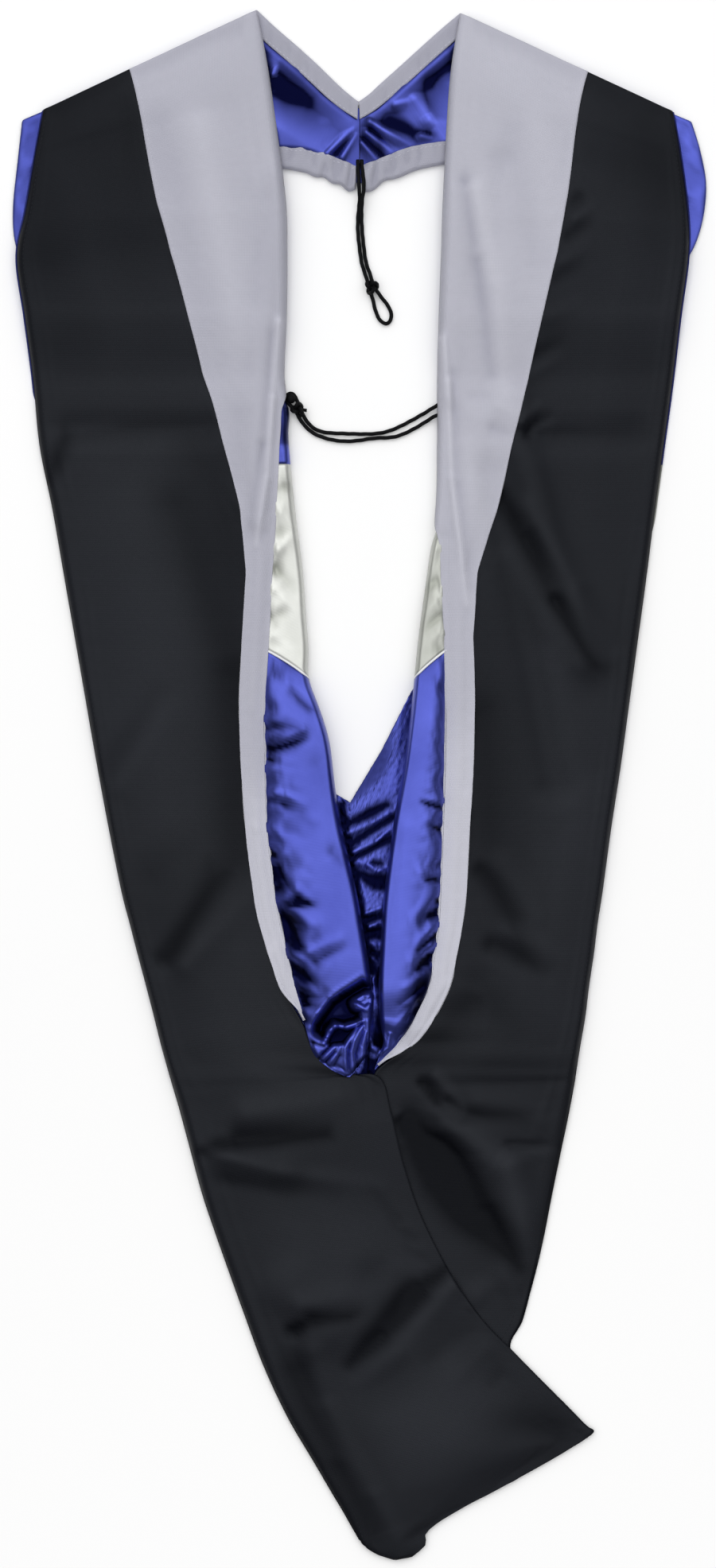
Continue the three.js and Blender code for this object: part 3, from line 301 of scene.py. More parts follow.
LINING_LEFT_CREASES = columns(CREASE, [
    (362, 566, 372, 600, 1.6, 4), (360, 612, 374, 626, -1.6, 4), (352, 640, 372, 668, 1.6, 5),
    (350, 690, 368, 672, 1.6, 4), (346, 716, 370, 742, -1.8, 5), (345, 742, 372, 770, 1.8, 5),
    (342, 776, 362, 768, -1.4, 4), (344, 800, 366, 816, 1.2, 5),
    (369, 868, 395, 896, -1.8, 4), (360, 858, 384, 874, 1.4, 4), (346, 850, 372, 872, -0.8, 4),
    (337, 903, 382, 915, 2.0, 3), (382, 917, 344, 931, 1.8, 3), (338, 916, 364, 917, -1.6, 3),
    (342, 941, 384, 928, -2.8, 4), (338, 954, 350, 958, -2.0, 1.8), (338, 966, 356, 968, 1.2, 3),
    (345, 997, 361, 999, 2.4, 2.2), (361, 999, 383, 1011, 2.0, 2.6), (342, 1006, 378, 1020, -2.0, 4),
    (340, 1040, 356, 1052, 1.2, 3), (341, 1072, 352, 1078, -2.6, 2.4), (346, 1062, 366, 1082, 1.6, 4),
    (349, 1090, 372, 1128, -3.4, 4.5), (373, 1118, 393, 1131, 1.8, 3), (356, 1141, 394, 1136, -3.0, 3.4),
    (358, 1152, 378, 1188, -4.2, 5), (372, 1162, 404, 1160, 1.4, 4), (396, 1207, 432, 1189, -1.2, 4),
    (388, 1194, 430, 1179, 1.6, 3), (366, 1198, 392, 1214, 2.0, 3), (372, 1222, 396, 1236, -3.0, 3),
    (378, 1240, 400, 1250, 2.0, 2.6), (384, 1262, 402, 1268, -3.0, 3), (419, 1070, 430, 1076, -1.2, 4),
    (400, 960, 424, 1010, -1.0, 8), (396, 1040, 440, 1110, 0.8, 9),
])
LINING_RIGHT_CREASES = columns(CREASE, [
    (548, 690, 536, 724, 1.6, 4), (544, 734, 532, 752, -1.4, 4), (556, 742, 538, 770, 1.6, 4),
    (552, 776, 534, 792, -1.6, 4), (556, 796, 538, 808, 1.2, 4),
    (556, 1016, 530, 1009, -2.2, 1.8), (556, 1008, 528, 1002, 1.4, 2.4), (553, 1043, 540, 1039, -2.0, 1.8),
    (552, 1034, 534, 1030, 1.0, 2.4), (548, 1107, 532, 1104, -2.2, 1.8), (550, 1098, 528, 1096, 1.6, 2.6),
    (551, 1130, 544, 1134, -2.0, 2), (549, 1146, 538, 1150, -2.2, 2.2), (548, 1160, 524, 1184, 2.4, 2.4),
    (546, 1176, 526, 1198, -3.0, 2.8), (543, 1186, 518, 1208, 2.4, 2.4), (540, 1204, 516, 1226, -3.0, 2.8),
    (534, 1222, 508, 1240, 2.0, 2.6), (530, 1240, 504, 1262, -2.6, 3), (520, 1262, 496, 1290, 1.8, 3),
    (545, 880, 530, 1000, 0.8, 8), (510, 1040, 500, 1180, 0.9, 7),
])
CENTRE_CREASES = columns(CREASE, [
    (437, 1048, 468, 1035, 1.6, 2), (468, 1035, 497, 1018, 2.0, 2), (497, 1018, 499, 1006, 1.8, 2),
    (440, 1034, 486, 1011, -2.0, 3), (440, 1061, 494, 1027, -2.4, 3), (444, 1072, 472, 1059, 2.4, 1.6),
    (472, 1059, 494, 1040, 2.6, 1.6), (446, 1079, 490, 1055, -2.4, 2.4), (449, 1083, 462, 1087, 1.8, 2),
    (462, 1087, 475, 1096, 2.4, 1.5), (475, 1096, 487, 1092, 2.4, 1.5), (470, 1086, 480, 1086, -1.6, 2),
    (451, 1100, 484, 1110, -2.0, 4), (454, 1108, 462, 1142, 1.2, 2), (459, 1149, 480, 1142, 2.4, 1.4),
    (461, 1156, 480, 1150, -2.4, 2), (464, 1166, 480, 1160, 2.4, 1.4), (464, 1175, 478, 1171, -2.4, 2.4),
    (466, 1186, 477, 1189, 1.8, 2), (468, 1198, 478, 1200, -1.6, 1.8), (468, 1206, 478, 1212, 1.6, 1.6),
    (505, 880, 492, 990, 2.0, 6),
])
NECK_LEFT_CREASES = columns(CREASE, [
    (336, 150, 400, 190, 3.2, 14), (350, 60, 440, 150, 2.4, 8),
    (343, 92, 351, 72, 1.4, 2.2), (350, 108, 386, 126, -1.8, 8), (411, 192, 444, 160, 2.2, 3),
    (430, 196, 448, 167, 1.8, 2.2), (422, 192, 440, 168, -1.6, 2.4), (372, 172, 410, 150, 0.9, 8),
])
NECK_RIGHT_CREASES = columns(CREASE, [
    (572, 110, 560, 190, 3.6, 12), (556, 62, 470, 140, 3.0, 8),
    (496, 130, 522, 124, 1.6, 4), (522, 124, 540, 150, 1.6, 6), (540, 150, 566, 166, 1.6, 6),
    (455, 178, 474, 200, 2.0, 2.2), (461, 165, 492, 189, 2.2, 2.8),
    (465, 152, 516, 181, 2.2, 3.2), (530, 169, 558, 177, 1.6, 3), (490, 150, 538, 164, -2.2, 4),
    (458, 174, 480, 196, -1.4, 2), (466, 162, 500, 186, -1.4, 2.4), (540, 100, 566, 84, -1.4, 6),
])

# The share of the tables' heights that the creases of the black cloth, the gathered foot and the neck
# linings get
SHELL_CREASE = 0.9
FOOT_CREASE = 0.6
NECK_CREASE = 1.6

# The gathered foot of the left roll, in the photograph's pixels: two dark hollows and a small curl in
# the upper one, the narrow pleats that run down from between them, and the corner at its right end
UPPER_HOLLOW = [(456, 1233), (466, 1236), (468, 1246), (452, 1254), (442, 1261), (445, 1268), (453, 1272),
                (453, 1279), (447, 1285), (432, 1289), (420, 1287), (414, 1294), (410, 1303), (404, 1306),
                (397, 1300), (397, 1289), (403, 1278), (417, 1259), (432, 1248)]
LOWER_HOLLOW = [(455, 1287), (447, 1295), (440, 1303), (432, 1312), (416, 1314), (411, 1312), (414, 1303),
                (419, 1294), (426, 1291), (436, 1294), (447, 1291)]
CURL_HOLLOW = [(451, 1258), (457, 1254), (465, 1254), (465, 1261), (458, 1265), (452, 1262)]
FOOT_CORNER = (460, 1338)
# how deep each lies in millimetres, and the softness of its edge in pixels
HOLLOWS = [(13, 8, UPPER_HOLLOW), (6, 4, LOWER_HOLLOW), (3, 3, CURL_HOLLOW)]
FOOT_CREASES = columns(CREASE, [
    (390, 1292, 399, 1274, 1.6, 2), (399, 1274, 415, 1254, 2.0, 2), (415, 1254, 432, 1242, 2.2, 2),
    (432, 1242, 454, 1228, 2.4, 1.8), (454, 1228, 468, 1231, 2.4, 1.6), (469, 1232, 472, 1262, 2.4, 1.6),
    (410, 1306, 413, 1297, 2.6, 1.3), (413, 1297, 421, 1289, 2.8, 1.3), (421, 1289, 434, 1291, 2.8, 1.3),
    (434, 1291, 456, 1283, 3.0, 1.3), (456, 1283, 455, 1273, 2.2, 1.3),
    (468, 1249, 460, 1249, 2.2, 1.3), (460, 1249, 446, 1257, 2.6, 1.5), (446, 1257, 443, 1264, 2.4, 1.7),
    (448, 1268, 462, 1269, 2.2, 1.5), (462, 1269, 467, 1258, 1.8, 1.3),
    (451, 1288, 440, 1305, 2.4, 1.2), (440, 1305, 434, 1318, 2.6, 1.2), (434, 1318, 435, 1344, 2.4, 1.5),
    (440, 1312, 437, 1330, -1.8, 1.0), (437, 1330, 439, 1344, -1.8, 1.0),
    (455, 1291, 446, 1307, 2.4, 1.2), (446, 1307, 442, 1322, 2.6, 1.2), (442, 1322, 444, 1346, 2.4, 1.6),
    (458, 1297, 452, 1311, -1.8, 1.0), (452, 1311, 448, 1324, -2.0, 1.0), (448, 1324, 449, 1340, -1.8, 1.1),
    (460, 1297, 456, 1315, 2.4, 1.4), (456, 1315, 455, 1334, 2.4, 1.9),
    (463, 1312, 460, 1324, -2.6, 1.3), (460, 1324, 460, 1338, -2.6, 1.5),
    (397, 1301, 408, 1312, 2.0, 1.6), (394, 1311, 408, 1316, -2.4, 1.3), (395, 1318, 400, 1328, 2.2, 2.2),
    (415, 1315, 401, 1330, -3.0, 1.3), (421, 1316, 406, 1332, 2.6, 1.3), (421, 1323, 410, 1335, -2.4, 1.4),
    (428, 1316, 414, 1338, 2.0, 1.6), (427, 1327, 420, 1340, -1.8, 1.5),
    (396, 1333, 412, 1341, 1.6, 1.5), (412, 1341, 442, 1348, 1.6, 1.5),
    (462, 1284, 463, 1304, 2.8, 1.4), (463, 1304, 468, 1319, 2.8, 1.4), (468, 1319, 478, 1325, 2.8, 1.5),
    (478, 1325, 487, 1318, 2.6, 1.5), (487, 1318, 490, 1300, 2.2, 1.5),
])

# Painted shade and light: the materials darken the cloth's colour by these, and low ones over a darker base
# paint paler patches
# Where the cloth turns away from the light, from the photograph: how dark from nothing to one,
# the softness of the edge in pixels, and the outline in pixels. Later ones lie over earlier ones.
SHELL_LEFT_SHADES = [
    (0.72, 120, [(-80, 0), (150, 0), (215, 200), (225, 330), (60, 380), (-80, 380)]),
    (0.12, 70, [(100, 560), (200, 560), (250, 800), (250, 1060), (170, 1060), (130, 800)]),
    (0.66, 45, [(240, 560), (290, 560), (330, 700), (320, 880), (330, 1090), (290, 1090), (264, 800)]),
    (0.14, 45, [(300, 1180), (350, 1230), (400, 1330), (460, 1390), (320, 1380), (250, 1300)]),
    (0.12, 50, [(330, 1500), (480, 1530), (520, 1600), (430, 1620), (350, 1600)]),
    (0.70, 18, [(262, 1084), (286, 1096), (226, 1206), (204, 1206)]),
    (0.75, 14, [(62, 604), (60, 575), (80, 536), (90, 545), (74, 590)]),
    (0.85, 11, [(250, 1446), (270, 1432), (330, 1430), (412, 1420), (420, 1432), (340, 1444), (290, 1444)]),
    (0.92, 10, [(364, 1668), (392, 1652), (448, 1652), (440, 1660), (392, 1668), (374, 1677)]),
    (1.00, 15, [(562, 1594), (500, 1626), (452, 1678), (436, 1716), (478, 1690), (520, 1652), (556, 1610)]),
    (0.60, 26, [(350, 1690), (376, 1690), (440, 1830), (490, 1950), (440, 1950), (370, 1810)]),
    (0.10, 30, [(560, 1700), (640, 1760), (560, 1860), (500, 1880), (470, 1780)]),
    (0.55, 26, [(650, 1790), (690, 1760), (740, 1800), (700, 1830)]),
]
SHELL_RIGHT_SHADES = [
    (0.62, 60, [(744, 90), (840, 120), (900, 240), (820, 300), (766, 230)]),
    (0.55, 36, [(700, 250), (730, 250), (700, 420), (660, 530), (660, 430)]),
    (0.10, 60, [(690, 820), (760, 900), (740, 1100), (690, 1260), (660, 1200), (680, 1000)]),
    (0.85, 15, [(624, 622), (646, 644), (680, 700), (708, 770), (752, 838), (738, 830), (696, 770),
                (652, 694)]),
    (0.50, 20, [(610, 664), (628, 684), (660, 744), (692, 806), (676, 800), (640, 754)]),
    (0.55, 60, [(570, 740), (620, 780), (656, 960), (650, 1120), (590, 1130), (570, 900)]),
    (0.70, 20, [(606, 1092), (630, 1104), (660, 1170), (672, 1214), (652, 1206), (626, 1150)]),
    (0.45, 18, [(610, 1240), (644, 1250), (646, 1284), (610, 1276)]),
    (0.85, 7, [(524, 1360), (532, 1360), (554, 1390), (546, 1392)]),
    (0.70, 9, [(532, 1400), (582, 1410), (582, 1416), (536, 1407)]),
    (0.60, 14, [(590, 1392), (656, 1398), (656, 1407), (594, 1402)]),
    (0.98, 20, [(500, 1408), (538, 1412), (580, 1434), (600, 1470), (632, 1530), (652, 1594), (608, 1568),
                (566, 1540), (532, 1500), (510, 1440)]),
]
# Where the velvet trims get no painted shade, which paints their lower ends paler
LOW_TRIMS = [(300, 1000), (620, 900), (620, 1360), (300, 1360)]
LINING_LEFT_SHADES = [
    (0.75, 4, [(346, 460), (372, 460), (374, 560), (346, 560)]),
    (0.80, 9, [(360, 905), (380, 917), (378, 921), (362, 913), (346, 916), (338, 912), (344, 904)]),
    (0.70, 7, [(338, 928), (352, 922), (362, 921), (350, 932), (338, 936)]),
    (0.62, 8, [(338, 943), (384, 929), (372, 943), (340, 951)]),
    (0.70, 6, [(371, 875), (395, 893), (388, 896), (374, 884)]),
    (0.50, 10, [(356, 1012), (398, 1036), (394, 1040), (360, 1020)]),
    (0.50, 8, [(413, 1070), (428, 1076), (430, 1088), (420, 1082)]),
    (0.85, 4, [(338, 954), (344, 954), (343, 959), (338, 959)]),
    (0.95, 4, [(340, 1069), (350, 1071), (350, 1080), (342, 1081)]),
    (0.92, 9, [(338, 1085), (352, 1092), (362, 1112), (361, 1123), (348, 1127), (341, 1110)]),
    (0.80, 5, [(357, 1134), (364, 1125), (377, 1123), (394, 1137), (380, 1139), (362, 1141)]),
    (0.95, 8, [(350, 1140), (372, 1148), (385, 1160), (378, 1167), (368, 1167), (366, 1180), (352, 1178)]),
    (0.95, 7, [(356, 1180), (376, 1180), (385, 1190), (380, 1199), (366, 1202)]),
    (0.55, 9, [(395, 1210), (402, 1201), (416, 1193), (431, 1188), (428, 1193), (414, 1200), (401, 1212)]),
    (0.97, 11, [(362, 1200), (384, 1216), (395, 1226), (391, 1250), (386, 1268), (392, 1292), (384, 1296),
                (370, 1240)]),
    (0.60, 10, [(386, 1290), (398, 1300), (394, 1312), (388, 1306)]),
    (0.96, 7, UPPER_HOLLOW), (0.96, 3, LOWER_HOLLOW),
    (0.15, 3, [(443, 1257), (451, 1253), (450, 1262), (452, 1267), (445, 1266)]),
]
LINING_RIGHT_SHADES = [
    (0.80, 4, [(529, 1007), (540, 1008), (554, 1013), (554, 1019), (540, 1014)]),
    (0.70, 4, [(541, 1038), (553, 1040), (552, 1045)]),
    (0.90, 3, [(531, 1105), (547, 1104), (546, 1109), (533, 1109)]),
    (0.85, 3, [(545, 1129), (553, 1129), (552, 1137), (546, 1136)]),
    (0.85, 3, [(536, 1151), (550, 1148), (550, 1156), (538, 1158)]),
    (0.90, 4, [(521, 1193), (534, 1183), (549, 1175), (548, 1184), (534, 1190), (524, 1197)]),
    (0.90, 4, [(526, 1207), (537, 1199), (547, 1196), (546, 1204), (530, 1212)]),
    (0.95, 11, [(519, 1227), (548, 1212), (546, 1232), (540, 1258), (518, 1300), (500, 1322), (505, 1290),
                (514, 1262)]),
]
CENTRE_SHADES = [
    (0.70, 14, [(522, 860), (520, 930), (497, 960), (470, 990), (442, 1014), (434, 1004), (470, 940)]),
    (0.16, 7, [(507, 954), (504, 977), (489, 1004), (460, 1019), (442, 1028), (440, 1016), (471, 989),
               (489, 971)]),
    (0.25, 5, [(445, 1079), (477, 1067), (486, 1090), (471, 1093), (451, 1087)]),
    (0.20, 5, [(451, 1102), (466, 1108), (480, 1124), (479, 1140), (460, 1147)]),
    (0.97, 6, [(436, 1037), (448, 1028), (464, 1014), (488, 1008), (490, 1014), (470, 1030), (450, 1037)]),
    (0.99, 5, [(438, 1064), (455, 1050), (480, 1034), (498, 1022), (496, 1032), (472, 1046), (450, 1060)]),
    (0.99, 5, [(442, 1080), (462, 1068), (494, 1048), (494, 1062), (470, 1070), (452, 1080)]),
    (0.85, 4, [(466, 1082), (480, 1082), (484, 1090), (474, 1091)]),
    (0.99, 5, [(445, 1094), (466, 1100), (490, 1097), (488, 1122), (470, 1122), (455, 1112)]),
    (0.99, 3, [(455, 1152), (484, 1147), (483, 1158), (460, 1164)]),
    (0.99, 4, [(458, 1168), (482, 1163), (482, 1184), (462, 1184)]),
    (0.90, 3, [(464, 1195), (480, 1195), (480, 1240), (466, 1240)]),
    (1.00, 3, [(424, 1008), (434, 1008), (441, 1050), (449, 1096), (457, 1130), (465, 1170), (474, 1215),
               (476, 1244), (466, 1244), (450, 1150), (436, 1080), (426, 1030)]),
    (1.00, 3, [(473, 1268), (479, 1289), (485, 1318), (473, 1318), (467, 1315), (470, 1290)]),
    (1.00, 3, [(446, 1360), (462, 1330), (470, 1331), (480, 1331), (492, 1322), (510, 1310), (510, 1370)]),
]
NECK_LEFT_SHADES = [
    (0.45, 24, [(392, 180), (404, 156), (440, 140), (456, 152), (456, 215), (400, 200)]),
    (0.86, 36, [(300, 20), (400, 84), (430, 118), (404, 132), (372, 150), (340, 140), (310, 120)]),
    (0.60, 12, [(330, 120), (345, 110), (352, 160), (338, 170)]),
    (0.20, 5, [(343, 68), (350, 74), (347, 94), (341, 90)]),
    (0.12, 7, [(446, 156), (440, 168), (418, 186), (410, 182), (426, 170)]),
]
NECK_RIGHT_SHADES = [
    (0.78, 22, [(545, 60), (590, 40), (590, 150), (553, 149), (541, 140), (536, 100)]),
    (0.94, 16, [(566, 50), (590, 40), (590, 150), (568, 132), (562, 100)]),
    (0.10, 7, [(492, 124), (512, 117), (526, 120), (538, 138), (546, 148), (562, 154), (570, 162), (568, 182),
               (558, 174), (550, 164), (534, 163), (522, 158), (512, 146), (500, 134)]),
    (0.80, 10, [(466, 137), (496, 140), (511, 157), (526, 169), (550, 169), (556, 182), (533, 177),
                (517, 173), (497, 161), (476, 150)]),
    (0.12, 5, [(472, 154), (486, 164), (500, 178), (520, 192), (492, 204), (484, 182), (470, 160)]),
    (0.90, 4, [(470, 160), (477, 168), (485, 198), (477, 202), (474, 182)]),
]

# The two halves: their tables, the last rows of the tube and the trim, the radius of the folded edge, and
# the painted shade of their velvet and silver satin, which differs from one half to the other
LEFT = {"side": "left", "plan": LEFT_PLAN, "rise": LEFT_RISE, "last_tube": 20, "last_trim": 16.9,
        "round": 4 * MM, "velvet_shade": 0.50, "silver_shade": 0.32}
RIGHT = {"side": "right", "plan": RIGHT_PLAN, "rise": RIGHT_RISE, "last_tube": 19, "last_trim": 18.8,
         "round": 3 * MM, "velvet_shade": 0.38, "silver_shade": 0.75}

# Places in the linings, in rows of the outline: the top of the silver satin, its end at the seam and how
# much farther down that lies at the fold
CHEVRON_TOP = 6.3
CHEVRON_END = 9.2
CHEVRON_SLOPE = 0.45
ROW_LENGTH = LENGTH * 0.041
PIPING_WIDTH = 1.6 * MM

# Where the left roll's edge stands out from its table or in, by the photograph, beside the back cord and
# farther down: by how many millimetres, at which row and over how many rows
FOLD_BULGES = [(2.6, 5.45, 0.3), (2.3, 10.6, 0.5), (-3.2, 9.65, 0.35)]


def place(x, y):
    """Shares of the outline as points in the frame."""
    return np.stack([x * HALF_WIDTH, (0.5 - y) * LENGTH], -1) + MIDDLE


def ease(u):
    u = np.clip(u, 0, 1)
    return u * u * (3 - 2 * u)


def mix(a, b, u):
    return a + (b - a) * u


def course(column, v):
    """A table column read smoothly between its rows."""
    last = len(column) - 1
    k = np.clip(np.floor(v).astype(int), 0, last - 1)
    u = v - k
    p0, p1, p2, p3 = (column[np.clip(k + n, 0, last)] for n in (-1, 0, 1, 2))
    return 0.5 * (2 * p1 + (p2 - p0) * u + (2 * p0 - 5 * p1 + 4 * p2 - p3) * u**2
                  + (3 * p1 - p0 - 3 * p2 + p3) * u**3)


def plan_point(plan, name, v):
    return place(course(plan[name + "_x"], v), course(plan[name + "_y"], v))


def straight(column, v):
    return np.interp(v, np.arange(len(column)), column)


def eased(table, name, v):
    at = table["at"]
    k = np.clip(np.searchsorted(at, v, side="right") - 1, 0, len(at) - 2)
    u = ease((v - at[k]) / (at[k + 1] - at[k]))
    return mix(table[name][k], table[name][k + 1], u)


def knot_height(knots, t):
    """Height through a few knots along a path, eased between them."""
    height = np.broadcast_to(knots[0][1], t.shape).copy()
    for (t0, h0), (t1, h1) in zip(knots[:-1], knots[1:]):
        u = ease((t - t0) / np.maximum(t1 - t0, 1e-9))
        height = np.where(t >= t0, mix(h0, h1, u), height)
    return height


def fold_height(points):
    """What the folds add above points of the plan."""
    start = place(FOLDS["from_x"], FOLDS["from_y"])
    run = place(FOLDS["to_x"], FOLDS["to_y"]) - start
    total = np.zeros(points.shape[:-1])
    for s, r, height, breadth in zip(start, run, FOLDS["height"], FOLDS["breadth"]):
        along = np.clip(((points - s) @ r) / (r @ r), 0, 1)
        away = np.linalg.norm(points - s - along[..., None] * r, axis=-1) / (breadth * MM)
        total += height * MM * np.exp(-away**2)
    return total


def at_pixel(px, py):
    """Points of the plan that show at these pixels of the photograph."""
    return np.stack([(px - HOOD_MIDDLE[0]) * PIXEL, (HOOD_MIDDLE[1] - py) * PIXEL], -1) + MIDDLE


def crease_height(points, table, sharpness=2.0, far_end=0.33):
    """What a table of creases adds above points of the plan."""
    start = at_pixel(table["from_px"], table["from_py"])
    run = at_pixel(table["to_px"], table["to_py"]) - start
    ridge = np.zeros(points.shape[:-1])
    valley = np.zeros(points.shape[:-1])
    for s, r, height, breadth in zip(start, run, table["height"], table["breadth"]):
        along = np.clip(((points[..., :2] - s) @ r) / (r @ r), 0, 1)
        away = np.linalg.norm(points[..., :2] - s - along[..., None] * r, axis=-1) / (breadth * MM)
        bump = height * MM * mix(1, far_end, along) * np.exp(-away**sharpness)
        ridge = np.maximum(ridge, bump)
        valley = np.minimum(valley, bump)
    return ridge + valley


def inside(points, outline, softness):
    """One well inside an outline of the photograph's pixels and nothing outside, with a soft edge."""
    away = (points[..., :2] - MIDDLE) / PIXEL * [1, -1] + HOOD_MIDDLE
    nearest = np.full(away.shape[:-1], np.inf)
    within = np.zeros(away.shape[:-1], bool)
    corners = np.array(outline, float)
    for a, b in zip(corners, np.roll(corners, -1, 0)):
        run = b - a
        along = np.clip(((away - a) @ run) / (run @ run), 0, 1)
        nearest = np.minimum(nearest, np.linalg.norm(away - a - along[..., None] * run, axis=-1))
        spans = (a[1] > away[..., 1]) != (b[1] > away[..., 1])
        crossing = a[0] + (away[..., 1] - a[1]) * run[0] / (run[1] if run[1] else 1)
        within ^= spans & (away[..., 0] < crossing)
    return ease(0.5 + np.where(within, nearest, -nearest) / softness / 2)


def shaded(points, base, patches, creases, strength):
    """The painted shade of each point of a cloth, from its patches and from the creases that turn it from the
    light or towards it.
    """
    shade = np.full(points.shape[:-1], float(base))
    for darkness, softness, outline in patches:
        shade = mix(shade, darkness, inside(points, outline, softness))
    return shade - crease_height(points, creases, 1.8, 0.7) / MM * strength


def pleat_shade(points):
    """The painted highlight on the ridges of the gathered foot's pleats, and the painted shade between them.
    """
    return crease_height(points, FOOT_CREASES, 1.8, 0.9) / MM * 0.3


def hollow_depth(points):
    """How far the hollows at the foot of the left roll sink below points of the plan."""
    return sum(depth * MM * inside(points, outline, softness) for depth, softness, outline in HOLLOWS)


def quarter_round(distance, radius):
    """The height of a rounded edge as a share of its full height, at a distance from the edge."""
    short = 1 - np.clip(distance / radius, 0, 1)
    return np.sqrt(np.maximum(0, 1 - short**2))


def fold_bulge(v):
    """How far the left roll's edge stands out from its table."""
    return sum(out * MM * np.exp(-(((v - row) / reach) ** 2)) for out, row, reach in FOLD_BULGES)


# The steepness of a roll's rise beside the trim, above and below, and how far it drops at its fold
ROLL_STEEP = 6.5
ROLL_BROAD = 2.8
ROLL_DROP = 0.08


class Section:
    """Cross-sections of one half at rows v: the distances across it and its two sides."""

    def __init__(self, half, v):
        self.v = np.asarray(v, float)[:, None]
        self.fold_round = half["round"]
        plan, rise = half["plan"], half["rise"]
        flat_v = self.v[:, 0]
        self.outer = plan_point(plan, "outer", flat_v)[:, None]
        self.fold = plan_point(plan, "fold", flat_v)[:, None]
        if half is LEFT:
            self.fold[..., 0] += fold_bulge(self.v)
        inner = plan_point(plan, "inner", flat_v)[:, None]
        self.tube = 1 - np.clip(self.v - half["last_tube"], 0, 1)
        shown = self.length(inner - self.fold)
        tuck = np.hypot(shown, FOLD_TURN * self.tube) - shown
        self.flat = self.length(self.outer - self.fold)
        self.inwards = (self.outer - self.fold) / np.maximum(self.flat, 1e-9)[..., None]
        self.inner = inner + self.inwards * tuck[..., None]
        self.to_inner = self.length(self.outer - self.inner)
        self.to_fold = self.to_inner + self.length(self.inner - self.fold)
        self.trim = TRIM_WIDTH * straight(plan["trim"], self.v)
        self.seam = self.to_inner - self.trim
        self.cover = self.seam * straight(plan["cover"], self.v)
        self.rise = {name: eased(rise, name, self.v) for name in rise if name != "at"}
        self.panel = self.rise["panel"] * LINING_STEP
        self.within = self.tube * LINING_STEP + self.panel

    def tucked(self):
        """One where the trim turns over the inner edge and hides the lining, nothing where satin shows."""
        return 1 - ease((self.to_fold - self.to_inner - 3.2 * MM) / (3 * MM))

    @staticmethod
    def length(vectors):
        return np.linalg.norm(vectors, axis=-1)

    def knots(self):
        """Distances from the outer edge and the heights there, up to the inner edge of the trim."""
        rise, base = self.rise, self.within + SHELL_WALL / 2
        seam_height = base + rise["seam"] * VELVET_CROWN
        tiny = 1e-6
        return [
            (0 * self.v, base + rise["crown"] * SHELL_CROWN * 0.6),
            (self.cover / 2, base + rise["crown"] * SHELL_CROWN),
            (self.cover, seam_height),
            (np.maximum(self.seam, self.cover + tiny), seam_height),
            (self.seam + self.trim / 2 + 2 * tiny, seam_height + rise["puff"] * VELVET_PUFF),
            (self.to_inner + 4 * tiny, seam_height),
        ]

    def roll_height(self, t):
        """What the satin roll adds beyond the trim: a quick rise, and then a broad and nearly level back."""
        seam_height = self.knots()[-1][1]
        roll = np.maximum(seam_height, self.rise["roll"] * ROLL_HEIGHT)
        u = np.clip((t - self.to_inner) / np.maximum(self.to_fold - self.to_inner, 1e-9), 0, 1)
        steepness = mix(ROLL_STEEP, ROLL_BROAD, ease((self.v - 12) / 5))
        return (roll - seam_height) * (1 - (1 - u) ** steepness) - ROLL_DROP * roll * u**3

    def shape(self, plan, t, is_top):
        """Points of the upper or the under side, at distances t from the outer edge."""
        away = (self.to_fold if is_top else self.flat) - t
        turn = quarter_round(t, OUTER_ROUND) * mix(1, quarter_round(away, self.fold_round), self.tube)
        outer_edge = SHELL_WALL / 2 + self.rise["edge"] * OUTER_RISE
        fold_edge = LINING_WALL / 2 + self.rise["fold"] * FOLD_RISE + self.panel
        edge = mix(outer_edge, fold_edge, t / np.maximum(t + away, 1e-9))
        if is_top:
            fade = ease(t / (25 * MM)) * ease(self.rise["crown"] * 2)
            height = knot_height(self.knots(), t) + self.roll_height(t)
            height = self.rise["under"] * SHELL_STEP + height + fold_height(plan) * fade
        else:
            height = LINING_WALL / 2 + self.panel * ease(1 - (away - 30 * MM) / (25 * MM))
        z = self.rise["lift"] * BAND_STACK + mix(edge, height, turn)
        return np.concatenate([plan, z[..., None] + FLOOR_LEVEL], -1)

    def top(self, t):
        first = self.outer + (self.inner - self.outer) * (t / self.to_inner)[..., None]
        share = np.clip((t - self.to_inner) / np.maximum(self.to_fold - self.to_inner, 1e-9), 0, 1)
        second = self.inner + (self.fold - self.inner) * share[..., None]
        return self.shape(np.where((t < self.to_inner)[..., None], first, second), t, True)

    def below(self, t):
        plan = self.outer + (self.fold - self.outer) * (t / self.flat)[..., None]
        return self.shape(plan, t, False)


def even_rows(half, low, high, spacing):
    """Row places between low and high, about one spacing apart along the hood."""
    v = np.linspace(low, high, 400)
    middle = (plan_point(half["plan"], "outer", v) + plan_point(half["plan"], "inner", v)) / 2
    run = np.concatenate([[0], np.cumsum(np.linalg.norm(np.diff(middle, axis=0), axis=1))])
    count = max(2, int(round(run[-1] / spacing)) + 1)
    return np.interp(np.linspace(0, run[-1], count), run, v)


NOISE_WAVES = 14


def soft_noise(points, wavelength, seed):
    """Smooth noise of about one unit over points of the plan, from waves in all directions."""
    random = np.random.default_rng(seed)
    total = np.zeros(points.shape[:-1])
    for _ in range(NOISE_WAVES):
        turn = random.uniform(0, math.tau)
        toward = np.array([math.cos(turn), math.sin(turn)])
        wave = toward * math.tau / (wavelength * random.uniform(0.7, 1.5))
        total += np.sin(points[..., :2] @ wave + random.uniform(0, math.tau))
    return total / math.sqrt(NOISE_WAVES / 2)


